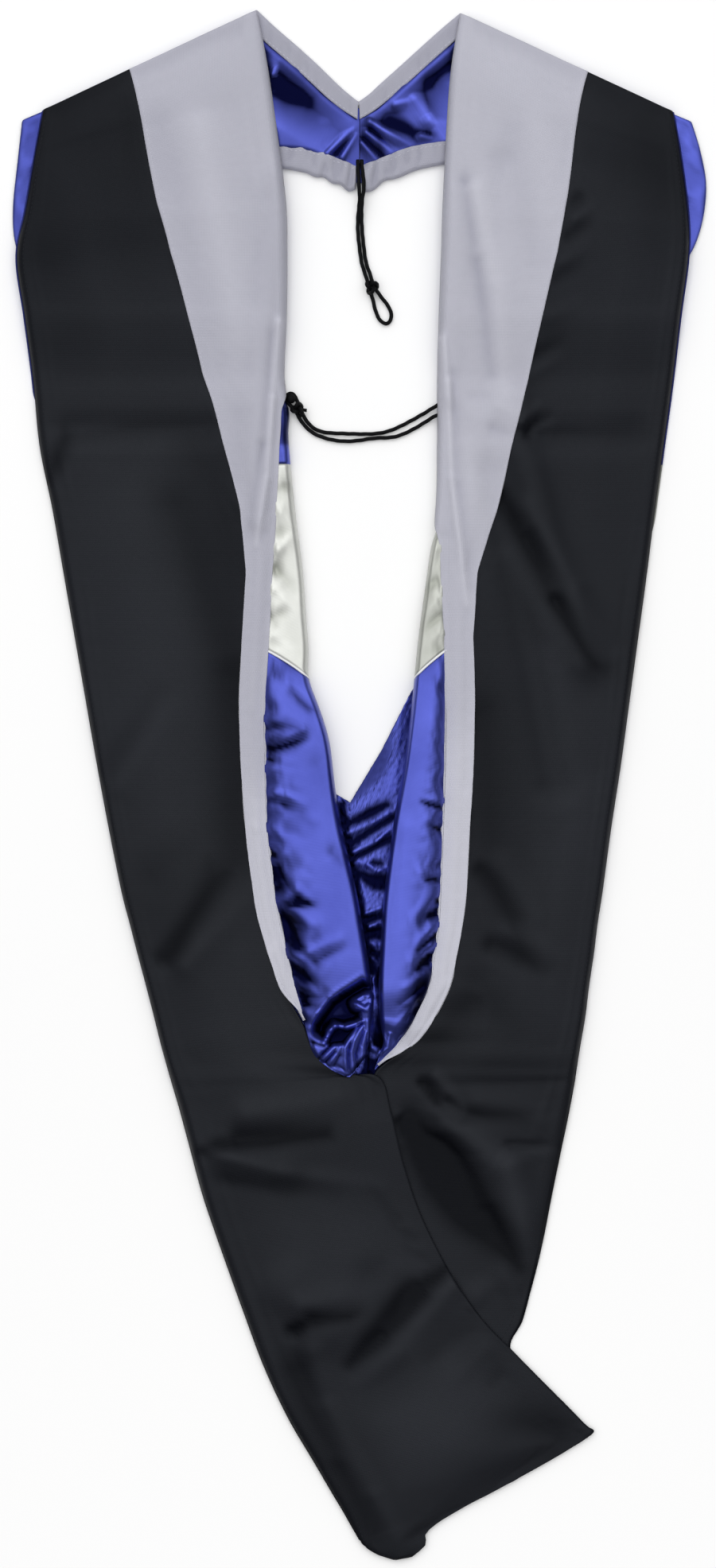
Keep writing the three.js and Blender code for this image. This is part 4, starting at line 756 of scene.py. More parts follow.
# How cloths settle: the extra cloth across and along as shares of their width and length, how much they
# are drawn back, how smooth they stay, the rounds, and the height and length of their first waves
SHELL_SETTLES = {"across": 0.002, "along": 0.003, "hold": 0.0015, "bend": 0.5, "rounds": 160, "start": 0.25,
                 "wave": 110}
TRIM_SETTLES = {"across": 0.002, "along": 0.003, "hold": 0.002, "bend": 0.5, "rounds": 140, "start": 0.25,
                "wave": 70}
LINING_SETTLES = {"hold": 0.0015, "bend": 0.5, "rounds": 240, "wave": 26, "sink": 3}
YOKE_SETTLES = {"across": 0.01, "along": 0.02, "hold": 0.004, "bend": 0.15, "rounds": 80, "start": 0.3,
                "wave": 20, "sink": 0}


def relax(sheet, seed, across, along, hold, bend, rounds, start, wave, sink=1.5):
    """Lets a sheet that is cut larger than its place settle into wrinkles, with its edges held. start,
    wave and sink, how far it may go down, are in millimetres."""
    place_at = sheet.copy()
    n, m = sheet.shape[:2]
    free = np.ones((n, m, 1))
    free[0] = free[-1] = 0
    free[:, 0] = free[:, -1] = 0
    cloth = sheet.copy()
    cloth[..., 2] += free[..., 0] * soft_noise(sheet, wave * MM, seed) * start * MM
    links = []

    def link(a, b, growth, strength):
        rest = np.linalg.norm(place_at[a] - place_at[b], axis=-1, keepdims=True) * (1 + growth)
        weight = np.maximum(free[a] + free[b], 1)
        links.append((a, b, rest, strength * free[a] / weight, strength * free[b] / weight))

    def grown(field, a):
        return field[a][..., None] if np.ndim(field) else field

    def slices(step_i, step_j, growth, strength):
        stride_i, stride_j = 2 * step_i or 1, 2 * step_j or 1
        for i in range(min(stride_i, n - step_i)):
            for j in range(min(stride_j, m - step_j)):
                a = (slice(i, n - step_i, stride_i), slice(j, m - step_j, stride_j))
                b = (slice(i + step_i, n, stride_i), slice(j + step_j, m, stride_j))
                link(a, b, grown(growth, a), strength)

    slices(0, 1, across, 1.0)
    slices(1, 0, along, 1.0)
    slices(1, 1, (across + along) / 2, 0.5)
    for reach, share in ((2, 1.0), (4, 0.5)):
        slices(0, reach, across, bend * share)
        slices(reach, 0, along, bend * share)
    for _ in range(rounds):
        for a, b, rest, share_a, share_b in links:
            gap = cloth[b] - cloth[a]
            size = np.maximum(np.linalg.norm(gap, axis=-1, keepdims=True), 1e-9)
            push = gap * ((size - rest) / size)
            cloth[a] += push * share_a
            cloth[b] -= push * share_b
        cloth += (place_at - cloth) * hold * free
        cloth[..., 2] = np.maximum(cloth[..., 2], place_at[..., 2] - sink * MM)
    return cloth


def sampled(grid, i, j):
    """A grid of points read smoothly at fractional rows and columns."""
    n, m = grid.shape[:2]
    i = np.clip(i, 0, n - 1)
    j = np.clip(j, 0, m - 1)

    def weights(x, size):
        k = np.clip(np.floor(x).astype(int), 0, size - 2)
        u = x - k
        index = [np.clip(k + s, 0, size - 1) for s in (-1, 0, 1, 2)]
        factor = [0.5 * (-u + 2 * u**2 - u**3), 0.5 * (2 - 5 * u**2 + 3 * u**3),
                  0.5 * (u + 4 * u**2 - 3 * u**3), 0.5 * (-(u**2) + u**3)]
        return index, factor

    rows, row_share = weights(i, n)
    cols, col_share = weights(j, m)
    total = np.zeros(np.broadcast(i, j).shape + (3,))
    for r, fr in zip(rows, row_share):
        for c, fc in zip(cols, col_share):
            total += grid[r, c] * (fr * fc)[..., None]
    return total


def finer(grid, rows, columns_count):
    """The same cloth on an evenly finer grid."""
    i = np.linspace(0, grid.shape[0] - 1, rows)[:, None]
    j = np.linspace(0, grid.shape[1] - 1, columns_count)[None]
    return sampled(grid, i + 0 * j, j + 0 * i)


def normals_of(grid):
    along = np.gradient(grid, axis=0)
    across = np.gradient(grid, axis=1)
    normal = np.cross(across, along)
    return normal / np.maximum(np.linalg.norm(normal, axis=-1, keepdims=True), 1e-12)


def mesh_object(name, points, faces, uvs=None):
    mesh = bpy.data.meshes.new(name)
    mesh.from_pydata([tuple(p) for p in points], [], faces)
    if uvs is not None:
        layer = mesh.uv_layers.new(name="cloth")
        corner = np.empty(len(mesh.loops), int)
        mesh.loops.foreach_get("vertex_index", corner)
        layer.data.foreach_set("uv", uvs[corner].ravel())
    mesh.polygons.foreach_set("use_smooth", [True] * len(mesh.polygons))
    mesh.update()
    piece = bpy.data.objects.new(name, mesh)
    bpy.context.scene.collection.objects.link(piece)
    return piece


def run_across(grid):
    """How far each point of a cloth lies from its first column, along its rows."""
    return np.cumsum(np.linalg.norm(np.diff(grid, axis=1, prepend=grid[:, :1]), axis=-1), axis=1)


def blurred(values, rounds):
    for _ in range(rounds):
        wide = np.pad(values, 1, mode="edge")
        values = (wide[:-2, 1:-1] + wide[2:, 1:-1] + wide[1:-1, :-2] + wide[1:-1, 2:] + 2 * values) / 6
    return values


DARKEST_DEPTH = 1.8 * MM


def fold_shade(grid):
    """How far each point lies down in a fold, from nothing to one, for the painted shade in its folds."""
    height = grid[..., 2]
    return np.clip((blurred(height, 28) - height) / DARKEST_DEPTH, 0, 1)


def cloth_piece(name, grid, wall, material, smooth=0, shade=0.0, own=1.0):
    """A closed piece of cloth around a grid of middle points, with its UV map in metres, and painted shade
    in its fold_shade attribute. own is how much of the painted shade of its own folds it shows beside
    shade, and smooth how often its faces are divided."""
    n, m = grid.shape[:2]
    normal = normals_of(grid)
    if normal[..., 2].mean() < 0:
        normal = -normal
    front = grid + normal * wall / 2
    back = grid - normal * wall / 2
    back[..., 2] = np.maximum(back[..., 2], FLOOR_LEVEL)
    front[..., 2] = np.maximum(front[..., 2], FLOOR_LEVEL)
    points = np.concatenate([front.reshape(-1, 3), back.reshape(-1, 3)])
    across = run_across(grid)
    run_along = np.cumsum(np.linalg.norm(np.diff(grid, axis=0, prepend=grid[:1]), axis=-1), axis=0)
    uv = np.stack([across, np.broadcast_to(run_along.mean(axis=1)[:, None], (n, m))], -1).reshape(-1, 2)
    index = np.arange(n * m).reshape(n, m)
    a, b, c, d = index[:-1, :-1], index[1:, :-1], index[1:, 1:], index[:-1, 1:]
    top = np.stack([a, b, c, d], -1).reshape(-1, 4)
    low = np.stack([a, d, c, b], -1).reshape(-1, 4) + n * m
    ring = np.concatenate([index[:-1, 0], index[-1, :-1], index[:0:-1, -1], index[0, :0:-1]])
    after = np.roll(ring, -1)
    rim = np.stack([after, ring, ring + n * m, after + n * m], -1)
    faces = np.concatenate([top, low, rim])
    first = points[faces[0]]
    facing = np.cross(first[1] - first[0], first[3] - first[0])
    if facing @ normal.reshape(-1, 3)[0] < 0:
        faces = faces[:, ::-1]
    piece = mesh_object(name, points, faces.tolist(), np.concatenate([uv, uv]))
    darkness = piece.data.attributes.new("fold_shade", "FLOAT", "POINT")
    darkness.data.foreach_set("value", np.tile(np.clip(fold_shade(grid) * own + shade, 0, 1).ravel(), 2))
    if smooth:
        rounding = piece.modifiers.new("rounding", "SUBSURF")
        rounding.levels = rounding.render_levels = smooth
    piece.data.materials.append(material)
    piece["flat_width"] = float(across[:, -1].max())
    piece["flat_length"] = float(run_along[-1].max())
    sides = np.cross(grid[1:, :-1] - grid[:-1, :-1], grid[:-1, 1:] - grid[:-1, :-1])
    piece["flat_area"] = float(np.linalg.norm(sides, axis=-1).sum())
    return piece


def finish_sheet(piece, replaced):
    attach(piece, "root")
    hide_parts(replaced)


# Camera
def make_camera():
    data = bpy.data.cameras.new("photo_camera")
    data.sensor_fit = "VERTICAL"
    data.sensor_height = SENSOR
    data.lens = SENSOR * (CAMERA_HEIGHT - SCALE_LEVEL) / (PHOTO_HEIGHT * PIXEL)
    data.clip_end = 20
    camera = bpy.data.objects.new("photo_camera", data)
    offset = (np.array(PHOTO_MIDDLE) - HOOD_MIDDLE) * PIXEL
    camera.location = (MIDDLE[0] + offset[0], MIDDLE[1] - offset[1], CAMERA_HEIGHT)
    bpy.context.scene.collection.objects.link(camera)
    bpy.context.scene.camera = camera


make_camera()


# Shader building
def new_material(name):
    material = bpy.data.materials.new(name)
    material.use_nodes = True
    nodes = material.node_tree.nodes
    return material, material.node_tree, nodes["Principled BSDF"]


def node(tree, kind, **values):
    made = tree.nodes.new(kind)
    for key, value in values.items():
        setattr(made, key, value)
    return made


def joined(tree, *pairs):
    for start, end in pairs:
        tree.links.new(start, end)


def shader_group(name, inputs, outputs):
    group = bpy.data.node_groups.new(name, "ShaderNodeTree")
    for label, kind, value in inputs:
        socket = group.interface.new_socket(label, in_out="INPUT", socket_type=kind)
        if value is not None:
            socket.default_value = value
    for label, kind in outputs:
        group.interface.new_socket(label, in_out="OUTPUT", socket_type=kind)
    return group, group.nodes.new("NodeGroupInput"), group.nodes.new("NodeGroupOutput")


def math_node(tree, operation, a, b=None):
    made = node(tree, "ShaderNodeMath", operation=operation)
    for socket, value in zip(made.inputs, (a, b)):
        if value is None:
            continue
        if isinstance(value, (int, float)):
            socket.default_value = value
        else:
            tree.links.new(value, socket)
    return made.outputs[0]


def make_weave_group():
    """Threads that cross on the cloth's own UV map. Pitch is the number of threads in a metre."""
    group, start, end = shader_group(
        "crossing_threads",
        [("Vector", "NodeSocketVector", None), ("Pitch", "NodeSocketFloat", 1400.0),
         ("Slant", "NodeSocketFloat", 0.0), ("Stretch", "NodeSocketFloat", 1.0)],
        [("Height", "NodeSocketFloat"), ("Unevenness", "NodeSocketFloat")])
    split = node(group, "ShaderNodeSeparateXYZ")
    joined(group, (start.outputs["Vector"], split.inputs[0]))
    turn = math_node(group, "MULTIPLY", start.outputs["Pitch"], math.tau)
    slanted = math_node(group, "ADD", split.outputs[0],
                        math_node(group, "MULTIPLY", split.outputs[1], start.outputs["Slant"]))
    warp = math_node(group, "SINE", math_node(group, "MULTIPLY", slanted, turn))
    down = math_node(group, "MULTIPLY", split.outputs[1], start.outputs["Stretch"])
    weft = math_node(group, "SINE", math_node(group, "MULTIPLY", down, turn))
    both = math_node(group, "ADD", warp, math_node(group, "MULTIPLY", weft, 0.6))
    slub = node(group, "ShaderNodeTexNoise")
    slub.inputs["Scale"].default_value = 260
    slub.inputs["Detail"].default_value = 3
    joined(group, (start.outputs["Vector"], slub.inputs["Vector"]))
    joined(group, (both, end.inputs["Height"]), (slub.outputs["Fac"], end.inputs["Unevenness"]))
    return group


def make_mottle_group():
    """Broad uneven patches, as where a pile is brushed one way or a cloth is worn."""
    group, start, end = shader_group(
        "brushed_patches",
        [("Vector", "NodeSocketVector", None), ("Scale", "NodeSocketFloat", 12.0),
         ("Warp", "NodeSocketFloat", 0.6)],
        [("Patch", "NodeSocketFloat")])
    broad = node(group, "ShaderNodeTexNoise")
    broad.inputs["Detail"].default_value = 4
    broad.inputs["Roughness"].default_value = 0.55
    joined(group, (start.outputs["Vector"], broad.inputs["Vector"]),
           (start.outputs["Scale"], broad.inputs["Scale"]),
           (start.outputs["Warp"], broad.inputs["Distortion"]))
    spread = node(group, "ShaderNodeMapRange")
    spread.inputs["From Min"].default_value = 0.32
    spread.inputs["From Max"].default_value = 0.68
    joined(group, (broad.outputs["Fac"], spread.inputs["Value"]), (spread.outputs[0], end.inputs["Patch"]))
    return group


THREADS = make_weave_group()
PATCHES = make_mottle_group()


def placed_group(tree, group, **values):
    made = node(tree, "ShaderNodeGroup", node_tree=group)
    for key, value in values.items():
        made.inputs[key].default_value = value
    return made


def cloth_material(name, dark, light, roughness, sheen, pitch, slant, thread_height, patch_scale,
                   grain=0.0, gloss=0.5, stretch=1.0, metal=0.0, stain=0.35, deep=(0.4, 0.4, 0.42),
                   cast=(1, 1, 1)):
    """A woven cloth: two close colours in broad patches, threads and unevenness in its bump, and painted shade
    in its folds. deep is what its colour is multiplied by, as painted shade, where fold_shade is one, which
    also dims its gloss, and cast the colour of its gloss."""
    material, tree, shader = new_material(name)
    uv = node(tree, "ShaderNodeTexCoord")
    threads = placed_group(tree, THREADS, Pitch=pitch, Slant=slant, Stretch=stretch)
    patches = placed_group(tree, PATCHES, Scale=patch_scale)
    joined(tree, (uv.outputs["UV"], threads.inputs["Vector"]),
           (uv.outputs["Object"], patches.inputs["Vector"]))
    share = math_node(tree, "ADD", math_node(tree, "MULTIPLY", patches.outputs["Patch"], 1 - stain),
                      math_node(tree, "MULTIPLY", threads.outputs["Unevenness"], stain))
    colour = node(tree, "ShaderNodeMix", data_type="RGBA")
    colour.inputs[6].default_value = (*dark, 1)
    colour.inputs[7].default_value = (*light, 1)
    # Painted shade: the colour is multiplied towards deep, and the gloss lowered, where fold_shade is high
    in_fold = node(tree, "ShaderNodeAttribute", attribute_name="fold_shade")
    darker = node(tree, "ShaderNodeMix", data_type="RGBA", blend_type="MULTIPLY")
    darker.inputs[7].default_value = (*deep, 1)
    joined(tree, (share, colour.inputs[0]), (colour.outputs[2], darker.inputs[6]),
           (in_fold.outputs["Fac"], darker.inputs[0]), (darker.outputs[2], shader.inputs["Base Color"]))
    shine = node(tree, "ShaderNodeMapRange")
    shine.inputs["To Min"].default_value = gloss
    shine.inputs["To Max"].default_value = gloss * deep[1]
    joined(tree, (in_fold.outputs["Fac"], shine.inputs["Value"]),
           (shine.outputs[0], shader.inputs["Specular IOR Level"]))
    shader.inputs["Specular Tint"].default_value = (*cast, 1)
    bump = node(tree, "ShaderNodeBump")
    bump.inputs["Strength"].default_value = 0.5
    bump.inputs["Distance"].default_value = thread_height * MM
    pile = math_node(tree, "ADD", threads.outputs["Height"],
                     math_node(tree, "MULTIPLY", threads.outputs["Unevenness"], grain))
    joined(tree, (pile, bump.inputs["Height"]), (bump.outputs[0], shader.inputs["Normal"]))
    rough = node(tree, "ShaderNodeMapRange")
    rough.inputs["To Min"].default_value = roughness - 0.06
    rough.inputs["To Max"].default_value = min(1.0, roughness + 0.06)
    joined(tree, (threads.outputs["Unevenness"], rough.inputs["Value"]),
           (rough.outputs[0], shader.inputs["Roughness"]))
    shader.inputs["Sheen Weight"].default_value = sheen
    shader.inputs["Sheen Roughness"].default_value = 0.4
    shader.inputs["Metallic"].default_value = metal
    return material


BLACK = cloth_material(
    "black_shell_cloth", (0.0046, 0.0050, 0.0072), (0.0076, 0.0082, 0.0120), roughness=0.44, sheen=0.0,
    pitch=1150, slant=1.0, thread_height=0.05, patch_scale=9, grain=1.0, gloss=0.25,
    deep=(0.34, 0.34, 0.38), cast=(0.84, 0.90, 1.0))
VELVET = cloth_material(
    "grey_velvet_pile", (0.550, 0.550, 0.620), (0.600, 0.600, 0.675), roughness=0.95, sheen=0.30,
    pitch=900, slant=0.3, thread_height=0.08, patch_scale=9, grain=2.5, gloss=0.1, stain=0.5,
    deep=(0.60, 0.60, 0.64))
SATIN = {"sheen": 0.0, "pitch": 1500, "slant": 0.0, "thread_height": 0.02, "patch_scale": 22, "grain": 1.0,
         "gloss": 0.5, "stretch": 0.3}
BLUE = cloth_material("blue_satin", (0.066, 0.083, 0.40), (0.096, 0.120, 0.53), roughness=0.34, metal=0.9,
                      deep=(0.02, 0.02, 0.035), **SATIN)
SILVER = cloth_material("silver_satin", (0.62, 0.63, 0.60), (0.78, 0.79, 0.76), roughness=0.36, metal=0.6,
                        deep=(0.45, 0.46, 0.43), **SATIN)
PIPING = cloth_material(
    "white_piping_cord", (0.80, 0.80, 0.82), (0.90, 0.90, 0.92), roughness=0.45, sheen=0.1, pitch=700,
    slant=1.0, thread_height=0.1, patch_scale=30, gloss=0.4)
CORD = cloth_material(
    "black_twisted_cord", (0.0015, 0.0015, 0.0020), (0.0035, 0.0035, 0.0045), roughness=0.7, sheen=0.0,
    pitch=500, slant=1.0, thread_height=0.3, patch_scale=40, gloss=0.12)

# Cord routes, in millimetres from the middle of the hood, with the height above the floor as a
# share of the neckband's stack
FRONT_LEFT = [(-1.4, 429, 0.25), (-0.8, 418.6, 0.8), (-0.6, 414, 1), (-0.4, 409, 1), (0.2, 402, 0.7),
              (-1.0, 392, 0.1), (-1.3, 381, 0), (-0.2, 370, 0), (1.4, 358, 0), (3.6, 351.5, 0.1)]
FRONT_RIGHT = [(1.4, 429, 0.25), (2.3, 418.6, 0.8), (2.8, 414, 1), (3.0, 409, 1), (1.9, 402, 1.15),
               (1.3, 392, 0.55), (1.7, 381, 0), (2.8, 370, 0), (4.4, 358, 0), (7.2, 351, 0.1)]
FRONT_LOOP = [(9.2, 333.0, 0.1), (10.4, 327.3, 0), (13.4, 319.4, 0), (18.4, 316.1, 0), (22.1, 320.2, 0),
              (20.7, 327.3, 0), (15.9, 333.6, 0.1)]
BACK_UPPER = [(-36.6, 249.6, 0.2), (-31.0, 244.2, 0), (-22.9, 241.5, 0), (-7.6, 241.0, 0), (6.0, 240.6, 0),
              (18.0, 241.9, 0), (28.9, 246.4, 0), (42.5, 253.8, 0), (52.4, 259.7, 0.5), (55.0, 261.2, 0.5)]
BACK_LOWER = [(-40.4, 249.6, 0.2), (-36.0, 244.7, 0), (-31.6, 241.1, 0), (-25.0, 238.3, 0), (-18.0, 236.5, 0),
              (-9.6, 235.6, 0), (-1.0, 236.2, 0), (6.0, 237.3, 0), (12.0, 238.0, 0), (20.0, 238.2, 0),
              (26.0, 239.2, 0), (33.5, 242.2, 0), (42.5, 247.2, 0), (52.4, 253.4, 0.5), (55.0, 253.6, 0.5)]

# The two knots' middles, the ways they point, the tail beside the back one, half their length and breadth,
# and how many millimetres a strand lies beside a knot's middle
FRONT_KNOT = (8.2, 341.6)
BACK_KNOT = (-42.5, 257.4)
FRONT_TURN = (0.25, 1.0)
BACK_TURN = (-0.53, 0.85)
BACK_TAIL = np.array([6.2, -0.6, 0.4]) * MM
KNOT_HALF_LENGTH = 5.8 * MM
FRONT_HALF_BREADTH, BACK_HALF_BREADTH = 5.0 * MM, 4.9 * MM
BUTTON_START = 5.2 * MM
STRAND_ASIDE = 1.7

# How far apart the points of a cord's path are, how often its route is evened out, so that it never turns
# in a point, and the sides and grooves of its tube
PATH_STEP = 1.0 * MM
BEND_ROUNDS = 40
TUBE_SIDES = 12
CORD_STRANDS = 3
CORD_LAY = 8 * MM
KNOT_LAY = 6 * MM
GROOVE_DEPTH = 0.13


def at_level(x, y, level):
    """A point given in millimetres from the middle of the hood."""
    return np.array([x * MM + MIDDLE[0], y * MM + MIDDLE[1], level])


def cord_points(rows):
    level = FLOOR_LEVEL + CORD_DIAMETER / 2 + LAYER_GAP
    return [at_level(x, y, level + up * BAND_STACK) for x, y, up in rows]


def through(points):
    """A smooth run of points, evenly apart."""
    points = np.array(points)
    v = np.linspace(0, len(points) - 1, len(points) * 12)
    dense = np.stack([course(points[:, k], v) for k in range(3)], -1)
    for _ in range(BEND_ROUNDS):
        dense[1:-1] = (dense[:-2] + 2 * dense[1:-1] + dense[2:]) / 4
    run = np.concatenate([[0], np.cumsum(np.linalg.norm(np.diff(dense, axis=0), axis=1))])
    count = int(run[-1] / PATH_STEP) + 2
    even = np.linspace(0, run[-1], count)
    return np.stack([np.interp(even, run, dense[:, k]) for k in range(3)], -1), float(run[-1])


def tube(path, radius, closed=False, strands=0, lay=CORD_LAY):
    """Points and faces of a tube along a path. strands are the ridges that wind round a laid cord."""
    sides = TUBE_SIDES
    path = np.array(path)
    path[:, 2] = np.maximum(path[:, 2], FLOOR_LEVEL + radius)
    ahead = np.roll(path, -1, 0) - np.roll(path, 1, 0) if closed else np.gradient(path, axis=0)
    ahead /= np.linalg.norm(ahead, axis=1, keepdims=True)
    side = np.cross(ahead, [0.11, 0.07, 1.0])
    side /= np.linalg.norm(side, axis=1, keepdims=True)
    up = np.cross(side, ahead)
    turn = np.linspace(0, math.tau, sides, endpoint=False)[None]
    run = np.concatenate([[0], np.cumsum(np.linalg.norm(np.diff(path, axis=0), axis=1))])[:, None]
    groove = GROOVE_DEPTH * np.abs(np.sin((turn * strands + run / lay * math.tau) / 2)) ** 2 if strands else 0
    reach = np.broadcast_to(radius * (1 - groove), (len(path), sides))[..., None]
    ring = np.cos(turn)[..., None] * side[:, None] + np.sin(turn)[..., None] * up[:, None]
    points = (path[:, None] + ring * reach).reshape(-1, 3)
    count = len(path)
    faces = []
    for i in range(count if closed else count - 1):
        for j in range(sides):
            a, b = i * sides + j, i * sides + (j + 1) % sides
            c, d = ((i + 1) % count) * sides + (j + 1) % sides, ((i + 1) % count) * sides + j
            faces.append((a, d, c, b))
    if not closed:
        faces.append(tuple(range(sides)))
        faces.append(tuple((count - 1) * sides + j for j in reversed(range(sides))))
    return points, faces


def tube_mesh(name, tubes, material):
    """One piece made of one or more shapes, each given by its points and faces."""
    points, faces = [], []
    for some, ring in tubes:
        base = sum(len(p) for p in points)
        faces += [tuple(base + k for k in face) for face in ring]
        points.append(some)
    piece = mesh_object(name, np.concatenate(points), faces)
    piece.data.materials.append(material)
    return piece


def overhand_knot(name, centre, along, half_length, half_breadth, tail=None):
    """A tight knot of cord: a trefoil path squeezed into the knot's space, with a short tail beside it."""
    t = np.linspace(0, math.tau, 84, endpoint=False)
    trefoil = np.stack([np.sin(t) + 2 * np.sin(2 * t), np.cos(t) - 2 * np.cos(2 * t), -np.sin(3 * t)], -1)
    thick = CORD_DIAMETER * 0.50
    reach = np.array([half_breadth - thick, half_length - thick, half_breadth - thick])
    trefoil *= reach / np.abs(trefoil).max(axis=0)
    along = np.array([*along, 0.0]) / np.linalg.norm(along)
    aside = np.array([along[1], -along[0], 0.0])
    points = np.array(centre) + trefoil[:, :1] * aside + trefoil[:, 1:2] * along + trefoil[:, 2:] * [0, 0, 1]
    tubes = [tube(points, thick, closed=True, strands=CORD_STRANDS, lay=KNOT_LAY)]
    if tail is not None:
        tubes.append(tube(np.linspace(centre, tail, 7), thick * 0.9, strands=CORD_STRANDS, lay=KNOT_LAY))
    return tube_mesh(name, tubes, CORD)


def ball_button(name, centre, radius):
    """A round button of wound cord, a little flattened and ridged."""
    turns, around = 18, 28
    a = np.linspace(0, math.pi, turns + 1)[1:-1]
    b = np.linspace(0, math.tau, around, endpoint=False)
    ridge = 1 + 0.035 * np.cos(8 * (b[None] + a[:, None] * 1.2)) * np.sin(a)[:, None]
    shape = np.stack([np.sin(a)[:, None] * np.cos(b) * ridge, np.sin(a)[:, None] * np.sin(b) * ridge,
                      0.9 * np.cos(a)[:, None] * np.ones_like(b)], -1).reshape(-1, 3)
    points = np.concatenate([shape, [[0, 0, 0.9], [0, 0, -0.9]]]) * radius + centre
    faces = []
    for i in range(turns - 2):
        for j in range(around):
            k = i * around
            faces.append((k + j, k + around + j, k + around + (j + 1) % around, k + (j + 1) % around))
    top, low, last = len(points) - 2, len(points) - 1, (turns - 2) * around
    faces += [(top, j, (j + 1) % around) for j in range(around)]
    faces += [(low, last + (j + 1) % around, last + j) for j in range(around)]
    return tube_mesh(name, [(points, faces)], CORD)


def finish_cord(pieces, replaced):
    """Attaches a cord's pieces to the root, and hides the parts that each of them stands for."""
    for piece in pieces:
        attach(piece, "root")
    for piece, nodes in zip(pieces, replaced):
        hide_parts(*nodes)


def make_front_cord(level):
    centre = at_level(*FRONT_KNOT, level)
    aside = np.array([STRAND_ASIDE, 0, 0]) * MM
    left, right = cord_points(FRONT_LEFT), cord_points(FRONT_RIGHT)
    route = left + [centre - aside] + cord_points(FRONT_LOOP) + [centre + aside] + right[::-1]
    points, length = through(route)
    cord = tube_mesh("front_cord", [tube(points, CORD_DIAMETER / 2, strands=CORD_STRANDS)], CORD)
    knot = overhand_knot("front_cord_knot", centre, FRONT_TURN, KNOT_HALF_LENGTH, FRONT_HALF_BREADTH)
    finish_cord([cord, knot], [("cord_front_left", "cord_front_right", "cord_front_loop"),
                               ("cord_front_knot",)])


def make_back_cord(level):
    centre = at_level(*BACK_KNOT, level)
    turn = np.array([*BACK_TURN, 0.0]) / np.linalg.norm(BACK_TURN)
    side = np.array([turn[1], -turn[0], 0.0]) * STRAND_ASIDE * MM
    button_at = centre + turn * (BUTTON_START + LAYER_GAP + BUTTON_RADIUS)
    # down one side of the knot, round the button and back up the other side
    around = [centre + side, button_at + side * 2.0 - turn * 1 * MM, button_at + side * 1.3 + turn * 3.6 * MM,
              button_at - side * 1.3 + turn * 3.6 * MM, button_at - side * 2.0 - turn * 1 * MM, centre - side]
    for point in around:
        point[2] = level - 1.2 * MM
    points, length = through(cord_points(BACK_UPPER)[::-1] + around + cord_points(BACK_LOWER))
    cord = tube_mesh("back_cord", [tube(points, CORD_DIAMETER / 2, strands=CORD_STRANDS)], CORD)
    knot = overhand_knot("back_cord_knot", centre, BACK_TURN, KNOT_HALF_LENGTH, BACK_HALF_BREADTH,
                         centre + BACK_TAIL)
    button = ball_button("back_cord_button", button_at, BUTTON_RADIUS)
    finish_cord([cord, knot, button], [("cord_back_upper", "cord_back_lower"), ("cord_back_knot",),
                                       ("cord_back_button",)])


KNOT_LEVEL = FLOOR_LEVEL + KNOT_RADIUS + LAYER_GAP
make_front_cord(KNOT_LEVEL)
make_back_cord(KNOT_LEVEL)


# Rows of stitches along the edges, in the colour of the cloth they hold
STITCH_SPACING = 3.2 * MM
STITCH_LENGTH = 2.1 * MM
STITCH_WIDTH = 0.45 * MM


def make_stitch_nodes():
    """Stitches at even steps along an edge line."""
    tree = bpy.data.node_groups.new("stitches_along_an_edge", "GeometryNodeTree")
    for name, kind in (("Line", "NodeSocketGeometry"), ("Spacing", "NodeSocketFloat"),
                       ("Length", "NodeSocketFloat"), ("Width", "NodeSocketFloat"),
                       ("Cloth", "NodeSocketMaterial")):
        tree.interface.new_socket(name, in_out="INPUT", socket_type=kind)
    tree.interface.new_socket("Stitches", in_out="OUTPUT", socket_type="NodeSocketGeometry")
    given = node(tree, "NodeGroupInput")
    made = node(tree, "NodeGroupOutput")
    line = node(tree, "GeometryNodeMeshToCurve")
    steps = node(tree, "GeometryNodeCurveToPoints", mode="LENGTH")
    thread = node(tree, "GeometryNodeMeshIcoSphere")
    thread.inputs["Radius"].default_value = 0.5
    thread.inputs["Subdivisions"].default_value = 1
    size = node(tree, "ShaderNodeCombineXYZ")
    placed = node(tree, "GeometryNodeInstanceOnPoints")
    real = node(tree, "GeometryNodeRealizeInstances")
    cloth = node(tree, "GeometryNodeSetMaterial")
    joined(tree, (given.outputs["Line"], line.inputs["Mesh"]), (line.outputs[0], steps.inputs["Curve"]),
           (given.outputs["Spacing"], steps.inputs["Length"]),
           (steps.outputs["Points"], placed.inputs["Points"]),
           (steps.outputs["Rotation"], placed.inputs["Rotation"]),
           (thread.outputs["Mesh"], placed.inputs["Instance"]),
           (given.outputs["Width"], size.inputs["X"]), (given.outputs["Width"], size.inputs["Y"]),
           (given.outputs["Length"], size.inputs["Z"]), (size.outputs[0], placed.inputs["Scale"]),
           (placed.outputs[0], real.inputs[0]), (real.outputs[0], cloth.inputs["Geometry"]),
           (given.outputs["Cloth"], cloth.inputs["Material"]), (cloth.outputs[0], made.inputs["Stitches"]))
    return tree


STITCHES = make_stitch_nodes()


def stitch_edge(name, path, material):
    """A row of stitches along a path, as one plain mesh."""
    line = bpy.data.meshes.new(f"{name}_line")
    line.from_pydata([tuple(p) for p in path], [(k, k + 1) for k in range(len(path) - 1)], [])
    row = bpy.data.objects.new(name, line)
    bpy.context.scene.collection.objects.link(row)
    maker = row.modifiers.new("stitches", "NODES")
    maker.node_group = STITCHES
    values = {"Spacing": STITCH_SPACING, "Length": STITCH_LENGTH, "Width": STITCH_WIDTH, "Cloth": material}
    for socket in STITCHES.interface.items_tree:
        if socket.name in values:
            maker[socket.identifier] = values[socket.name]
    depsgraph = bpy.context.evaluated_depsgraph_get()
    made = bpy.data.meshes.new_from_object(row.evaluated_get(depsgraph), depsgraph=depsgraph)
    row.modifiers.remove(maker)
    row.data = made
    row.data.name = name
    bpy.data.meshes.remove(line)
    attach(row, "root")


